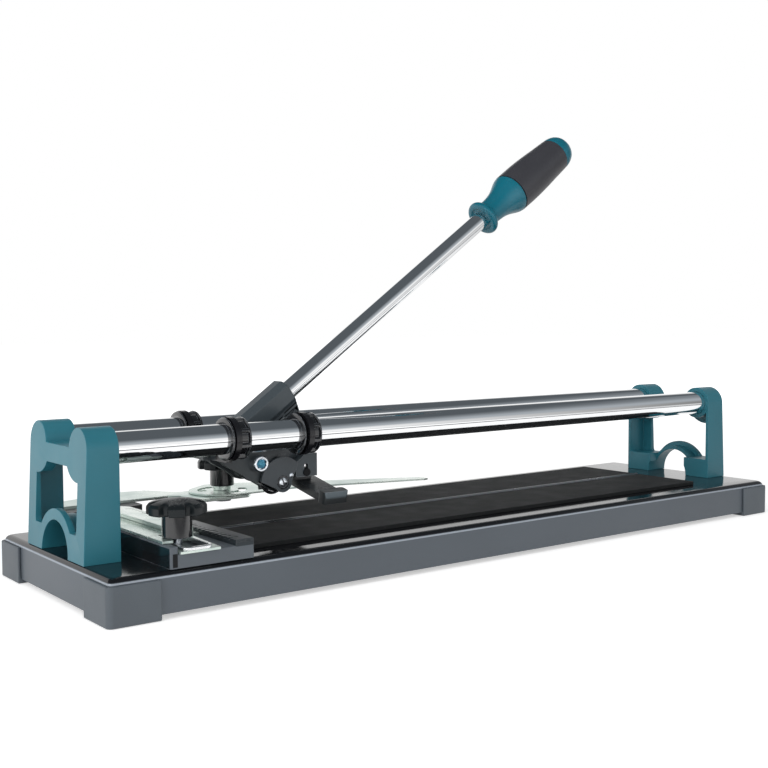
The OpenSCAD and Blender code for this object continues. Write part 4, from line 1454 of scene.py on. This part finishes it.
@dataclass(frozen=True)
class Knob:
    """A lobed clamping knob with a plain stem. Lengths are in mm.

    Attributes:
        node: the CAD node that it stands for.
        axis: place of its axis along X and Y.
        low: foot of its stem.
        under: underside of its head.
        top: middle of its domed top.
        turn: turn of its first lobe in degrees.
        radius: reach of its lobes.
        waist: distance from the axis to the notches.
        dome: rise of the dome.
        stem_r: radius of its stem.
        stud_r: radius of the stud's bore.
        lobes: number of lobes.
        lobe: places across a lobe, as shares of its pitch, with the notch's depth there.
    """

    node: str
    axis: Pair
    low: float
    under: float
    top: float
    turn: float
    radius: float = 18.1
    waist: float = 14.6
    dome: float = 3.4
    stem_r: float = 9.1
    stud_r: float = 3.3
    lobes: int = 7
    lobe: tuple[Pair, ...] = ((-0.3, 0.0), (-0.1, 0.0), (0.1, 0.0), (0.3, 0.0), (0.4, 1.0),
                              (0.5, 1.08), (0.6, 1.0))

    def head(self) -> Mesh:
        """The lobed head.

        Returns:
            Flat-ended lobes with straight sides below a shallow dome.
        """
        edge = self.top - self.dome
        rows = [(1.0, self.under, 0.72), (1.0, self.under, 0.97), (1.0, self.under + 0.6, 1.0)]
        rows.append((1.0, edge - 0.5, 1.0))
        for i in range(1, 12):
            share = i / 12.0
            rise = self.dome * math.sqrt(1.0 - (1.0 - share) ** 2)
            rows.append((1.0 - share, edge + rise, 1.0 - 0.93 * share))
        return loft([self._loop(*row) for row in rows], capped=True)

    def stem(self) -> Mesh:
        """The round stem.

        Returns:
            The stem, open below for the stud.
        """
        reach, r = self.under - self.low + 0.5, self.stem_r
        ring = [(0.0, self.stud_r), (0.0, r - 0.4), (0.4, r), (reach, r), (reach, self.stud_r)]
        return lathe(ring, 64, upright(*self.axis, self.low))

    def _loop(self, depth: float, height: float, scale: float) -> list[Vector]:
        """One level loop of the head.

        Args:
            depth: share of the notches' full depth.
            height: its place along Z.
            scale: its size.

        Returns:
            Its points, anticlockwise.
        """
        points = []
        for i in range(self.lobes):
            for offset, notch in self.lobe:
                angle = math.radians(self.turn + (i + offset) * 360.0 / self.lobes)
                radius = (self.radius - (self.radius - self.waist) * notch * depth) * scale
                x, y = radius * math.cos(angle), radius * math.sin(angle)
                points.append(Vector((self.axis[0] + x, self.axis[1] + y, height)))
        return points


@dataclass
class FenceBlock:
    """The front fence block: base, left wall, the notched scale strip, and black pieces on its left
    face and wall end that are painted shade. Sizes are in mm.

    Attributes:
        builder: makes the pieces.
        left: its left side.
        right: its right side.
        near: its front end.
        far: its rear end.
        low: its underside, on the bed.
        wall: thickness of its left wall.
        wall_top: top of that wall.
        floor: floor of its recess.
        strip_left: left side of the strip.
        strip_top: top of the strip.
        tooth: width of the strip's notched part.
        bridge: distance of a short notch's end from the strip's left side.
        notches: number of notches.
        first: distance of the first notch from the front end.
        pitch: distance between notches.
        depth: their depth.
        slit: their width.
        sunk: how deep a form stands in the one below it.
    """

    builder: Builder
    left: float = -269.5
    right: float = -213.5
    near: float = -86.0
    far: float = -10.0
    low: float = 28.0
    wall: float = 5.0
    wall_top: float = 41.3
    floor: float = 36.8
    strip_left: float = -226.0
    strip_top: float = 40.5
    tooth: float = 6.5
    bridge: float = 4.4
    notches: int = 12
    first: float = 8.0
    pitch: float = 5.4
    depth: float = 1.2
    slit: float = 1.6
    sunk: float = 0.5

    def build(self) -> None:
        """Builds the block."""
        make, node, left, low = self.builder, "fence_block_front", self.left, self.low
        along = (self.near, self.far)
        base = box((left, self.right), along, (low, self.floor))
        wall = box((left, left + self.wall), along, (self.floor - 1.0, self.wall_top))
        make.add("block_body", joined([base, wall]), node, Paint.BLOCK, Easing(0.6), instead=True)
        # A black sheet over the block's left face: painted shade, where that face lies in shadow.
        height = (low + 0.2, self.wall_top - 0.9)
        side = box((left - 0.12, left + 0.3), (self.near + 1.0, self.far), height)
        make.add("block_side", side, node, Paint.BUSH)
        # A black strip on the front end of the wall: painted shade of a groove.
        depth = (self.near - 0.1, self.near + 0.3)
        groove = box((left + 1.5, left + 4.6), depth, (low + 1.0, self.floor + 0.2))
        make.add("block_groove", groove, node, Paint.RUBBER)
        make.add("scale_strip", joined(self._strip()), node, Paint.STRIP, Easing(0.12, 2))

    def _strip(self) -> list[Mesh]:
        """The scale strip.

        Returns:
            Its base, its solid right part, and a tooth between each two notches. Every fifth
            notch is long, and the others stop at a bridge.
        """
        start, right, step = self.near + 0.02, self.right - 0.02, self.strip_top - self.depth
        solid = self.strip_left + self.tooth
        high, teeth = (step - self.sunk, self.strip_top), (self.strip_left, solid + self.sunk)
        parts = [box((self.strip_left, right), (start, self.far), (self.floor - 1.0, step)),
                 box((solid, right), (start, self.far), high)]
        for i in range(self.notches):
            y = self.near + self.first + i * self.pitch
            parts.append(box(teeth, (start, y), high))
            if i % 5:
                bridge = (self.strip_left + self.bridge, solid + self.sunk)
                parts.append(box(bridge, (y - 0.1, y + self.slit + 0.1), high))
            start = y + self.slit
        parts.append(box(teeth, (start, self.far), high))
        return parts


@dataclass
class FenceBar:
    """The sliding bar: clamping plate with its rimmed slot, flange and folded channel, in mm.

    Attributes:
        builder: makes the pieces.
        block: the block that it slides in.
        slot_x: middle of the slot along X.
        slot_half: half of the slot's length, to its straight end.
        slot_r: half of the slot's width.
        rim: width of the raised rim.
        rim_top: top of the rim.
        overhang: reach of the plate before the block.
        plate_top: top of the plate.
        plate_far: rear end of the part of the plate with the slot, from the block's front.
        flange: underside and top of the flange.
        flange_step: right side of the flange beside the plate.
        channel: left and right side of the channel.
        channel_near: its front end.
        channel_top: its top.
        reach: its rear end.
        lid: thickness of its lid.
        ticks: number of ticks on the lid.
        tick_start: distance of the first tick from the rear end.
        tick_pitch: distance between them.
        tick: their length.
        fifth: length of every fifth.
    """

    builder: Builder
    block: FenceBlock
    slot_x: float = -251.5
    slot_half: float = 19.0
    slot_r: float = 8.1
    rim: float = 2.2
    rim_top: float = 40.4
    overhang: float = 2.7
    plate_top: float = 38.4
    plate_far: float = 46.0
    flange: Pair = (41.5, 43.2)
    flange_step: float = -262.5
    channel: Pair = (-255.0, -239.0)
    channel_near: float = -56.0
    channel_top: float = 46.5
    reach: float = 43.0
    lid: float = 1.3
    ticks: int = 14
    tick_start: float = 16.0
    tick_pitch: float = 5.0
    tick: float = 3.6
    fifth: float = 6.0

    def build(self) -> None:
        """Builds the bar."""
        make, node, block = self.builder, "fence_bar", self.block
        outer, inner = self._slot(self.slot_r + self.rim, 5.6), self._slot(self.slot_r, 3.4)
        rim = frame_ring(outer, inner, block.floor + 0.2, self.rim_top)
        make.add("slot_rim", rim, node, Paint.RIM, Easing(0.7), instead=True)
        make.add("clamp_plate", self._plate(), node, Paint.ZINC, Easing(0.15, 2, 60.0))
        (left, right), near, far = self.channel, self.channel_near, self.reach
        parts = [box((block.left, self.flange_step), (block.near + 10.0, near), self.flange),
                 box((block.left, left + 0.5), (near, far - 12.0), self.flange)]
        make.add("bar_flange", joined(parts), node, Paint.ZINC, Easing(0.2, 2))
        under = self.channel_top - self.lid
        web = box((left + 1.2, right), (near, far - 1.0), (block.floor + 0.4, under))
        make.add("bar_web", web, node, Paint.ZINC, Easing(0.2, 2))
        marks = [self._tick(i) for i in range(self.ticks)]
        make.add("lid_scale", joined(marks), node, Paint.INK)
        outline = [(right, near), (right, far - 9.0), (right - 4.0, far - 3.0), (left + 5.0, far)]
        lid = prism(outline + [(left, far), (left, near)], (under, self.channel_top), "z")
        make.add("bar_lid", lid, node, Paint.ZINC, Easing(0.3))

    @property
    def slot_middle(self) -> float:
        """Middle of the slot along Y."""
        return self.block.near - self.overhang + 0.2 + self.rim + self.slot_half

    def _slot(self, half: float, corner: float) -> list[Pair]:
        """An outline round the slot.

        Args:
            half: its distance from the slot's middle line.
            corner: radius of its corners.

        Returns:
            Its corners.
        """
        length = 2 * (self.slot_half + half - self.slot_r)
        loop = rounded_loop(2 * half, length, corner, 0.0)
        return [(self.slot_x + point.x, self.slot_middle + point.y) for point in loop]

    def _tick(self, index: int) -> Mesh:
        """A printed tick across the lid.

        Args:
            index: its number from the rear.

        Returns:
            The tick.
        """
        y = self.reach - self.tick_start - index * self.tick_pitch
        x = self.channel[1] - 0.8
        length = self.tick if index % 5 else self.fifth
        return box((x - length, x), (y, y + 0.5), (self.channel_top - 0.1, self.channel_top + 0.03))

    def _plate(self) -> Mesh:
        """The plate in the recess, open round the slot's rim.

        Returns:
            A ring from the rim out to the plate's edges, and the rest behind it.
        """
        block = self.block
        left, right = block.left + block.wall + 0.3, block.strip_left - 0.3
        near, far = block.near - self.overhang, block.near + self.plate_far
        under = block.floor + 0.06
        middle = Vector((self.slot_x, self.slot_middle))
        hole = self._slot(self.slot_r + self.rim - 0.3, 5.3)
        edge = []
        for corner in hole:
            out = Vector(corner) - middle
            bound = (right if out.x > 0 else left, far if out.y > 0 else near)
            pairs = zip(bound, middle, out)
            share = min((limit - start) / step for limit, start, step in pairs if abs(step) > 1e-6)
            edge.append(tuple(middle + out * share))
        rest = box((left, right), (far - 0.1, block.far + 0.3), (under, self.plate_top))
        return joined([frame_ring(edge, hole, under, self.plate_top), rest])


@dataclass
class Fence:
    """The fence at the left end and the swivelling side stop.

    Attributes:
        builder: makes the pieces.
        knobs: the two clamping knobs.
        knob_easing: rounding of their heads.
        collar_z: foot of the collar under the side stop's knob, in mm.
    """

    builder: Builder
    knobs: tuple[Knob, Knob] = (Knob("fence_knob", (-256.0, -68.0), 43.4, 57.6, 66.2, 37.5),
                                Knob("swivel_knob", (-148.0, 71.0), 48.6, 61.6, 70.6, 5.0))
    knob_easing: Easing = Easing(0.6, 3, 25.0)
    collar_z: float = 45.5

    def build(self) -> None:
        """Dresses the fence and the side stop."""
        make = self.builder
        block = FenceBlock(make)
        block.build()
        FenceBar(make, block).build()
        make.ease(Paint.REAR_BLOCK, Easing(0.6), "fence_block_rear")
        make.ease(Paint.ZINC, Easing(0.25), "stop_arm", "swivel_blade")
        for knob in self.knobs:
            make.add(knob.node + "_head", knob.head(), knob.node, Paint.KNOB, self.knob_easing,
                     instead=True)
            make.add(knob.node + "_stem", knob.stem(), knob.node, Paint.BUSH)
        ring = [(0.0, 3.2), (0.0, 6.6), (2.9, 6.6), (3.2, 6.2), (3.2, 3.2)]
        collar = lathe(ring, 64, upright(*self.knobs[1].axis, self.collar_z))
        make.add("swivel_collar", collar, "swivel_knob", Paint.ZINC)
        make.paint(Paint.BRIGHT, "fence_stud", "arm_screws", "swivel_stud")


# ---------------------------------------------------------------- studio


@dataclass(frozen=True)
class Camera:
    """The camera, in front of the left end and a little above the rails.

    Attributes:
        place: where it stands, in metres.
        yaw: its turn to the right of +Y, in radians.
        pitch: its rise.
        roll: its roll.
        lens: its focal length in mm.
    """

    place: tuple[float, float, float] = (-0.5648, -0.6810, 0.1736)
    yaw: float = 0.649
    pitch: float = -0.058
    roll: float = -0.005
    lens: float = 53.28

    def build(self) -> None:
        """Adds the camera and makes it the scene's."""
        data = bpy.data.cameras.new("camera")
        data.lens = self.lens
        data.sensor_width = 36.0
        data.clip_start = 0.01
        data.clip_end = 60.0
        camera = bpy.data.objects.new("camera", data)
        bpy.context.scene.collection.objects.link(camera)
        turns = ((-self.yaw, "Z"), (math.pi / 2 + self.pitch, "X"), (self.roll, "Z"))
        stand = Matrix.Translation(self.place)
        for angle, axis in turns:
            stand = stand @ Matrix.Rotation(angle, 4, axis)
        camera.matrix_world = stand
        bpy.context.scene.camera = camera
        LOG.info("camera: %.2f mm lens", self.lens)


@dataclass(frozen=True)
class Lamp:
    """A square soft light that gloss and metal don't show.

    Attributes:
        name: its name.
        place: where it stands.
        size: length of its side.
        power: its power in watts.
    """

    name: str
    place: tuple[float, float, float]
    size: float
    power: float

    def build(self, aim: Vector) -> None:
        """Adds the light.

        Args:
            aim: the point that it faces.
        """
        data = bpy.data.lights.new(self.name, "AREA")
        data.size = self.size
        data.energy = self.power
        light = bpy.data.objects.new(self.name, data)
        light.location = self.place
        light.rotation_euler = (aim - Vector(self.place)).to_track_quat("-Z", "Y").to_euler()
        light.visible_glossy = False
        bpy.context.scene.collection.objects.link(light)


@dataclass
class Studio:
    """Pale floor, soft light, and a room that only gloss and metal show.

    Attributes:
        floor_size: length of the floor's side.
        floor_drop: depth of the floor below the feet.
        fill: strength of the world's light on the cutter.
        white: colour of the walls.
        dusk: colour of the right-hand wall.
        band: colour of the front wall above eye level.
        ceiling: colour of the ceiling.
        lamps: the lamps.
        aim: what the lamps face.
    """

    floor_size: float = 14.0
    floor_drop: float = 0.0003
    fill: float = 0.5
    white: Colour = (1.0, 1.0, 1.0)
    dusk: Colour = (0.24, 0.24, 0.24)
    band: Colour = (0.4, 0.43, 0.46)
    ceiling: Colour = (0.095, 0.108, 0.12)
    lamps: tuple[Lamp, ...] = (
        Lamp("left_light", (-2.2, -0.5, 0.9), 1.4, 25.0),
        Lamp("front_light", (-0.4, -2.4, 0.8), 1.5, 16.0),
        Lamp("top_light", (-0.6, -0.4, 2.4), 1.2, 6.0),
    )
    aim: tuple[float, float, float] = (-0.1, 0.0, 0.1)

    def build(self) -> None:
        """Adds the studio."""
        self._floor()
        self._world()
        for lamp in self.lamps:
            lamp.build(Vector(self.aim))
        LOG.info("studio: %d lamps", len(self.lamps))

    def _floor(self) -> None:
        """Adds a wide matt floor."""
        mesh = bmesh.new()
        bmesh.ops.create_grid(mesh, x_segments=2, y_segments=2, size=self.floor_size / 2)
        data = bpy.data.meshes.new("floor")
        mesh.to_mesh(data)
        mesh.free()
        floor = bpy.data.objects.new("floor", data)
        floor.location = (0.0, 0.0, -self.floor_drop)
        bpy.context.scene.collection.objects.link(floor)
        floor.data.materials.append(FloorWhite("FloorWhite").build())

    def _world(self) -> None:
        """Gives gloss and metal white walls up to a grey ceiling, the camera plain white, and the
        rest an even soft light."""
        world = bpy.data.worlds.new("studio")
        bpy.context.scene.world = world
        world.use_nodes = True
        world.node_tree.nodes.clear()
        graph = Graph(world.node_tree)
        way = graph.add("SeparateXYZ", {0: graph.add("TexCoord").outputs["Generated"]}).outputs
        low = graph.mix(graph.ramp(way["X"], 0.58, 0.8), self.white, self.dusk)
        wall = graph.mix(graph.ramp(way["Z"], 0.16, 0.34), low, self.band)
        front = graph.mix(graph.ramp(way["Z"], 0.42, 0.72), wall, self.ceiling)
        rear = graph.mix(graph.ramp(way["Z"], 0.42, 0.56), self.white, self.ceiling)
        room = graph.mix(graph.ramp(way["Y"], 0.0, 0.1), front, rear)
        glossy = graph.add("LightPath").outputs["Is Glossy Ray"]
        strength = graph.ramp(graph.seen(), 0.0, 1.0, self.fill, 1.0)
        colour = graph.mix(glossy, self.white, room)
        shade = graph.add("Background", {"Color": colour, "Strength": strength})
        graph.add("OutputWorld", {"Surface": shade.outputs[0]})


def main() -> None:
    """Builds the cutter and its studio."""
    logging.basicConfig(level=logging.INFO, format="%(name)s %(message)s")
    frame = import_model()
    bpy.context.scene.view_settings.view_transform = "Standard"
    Camera().build()
    builder = Builder(frame)
    for assembly in (Bed, RailFrame, Carriage, Lever, Fence):
        assembly(builder).build()
        LOG.info("%s done", assembly.__name__)
    Studio().build()


if __name__ == "__main__":
    main()
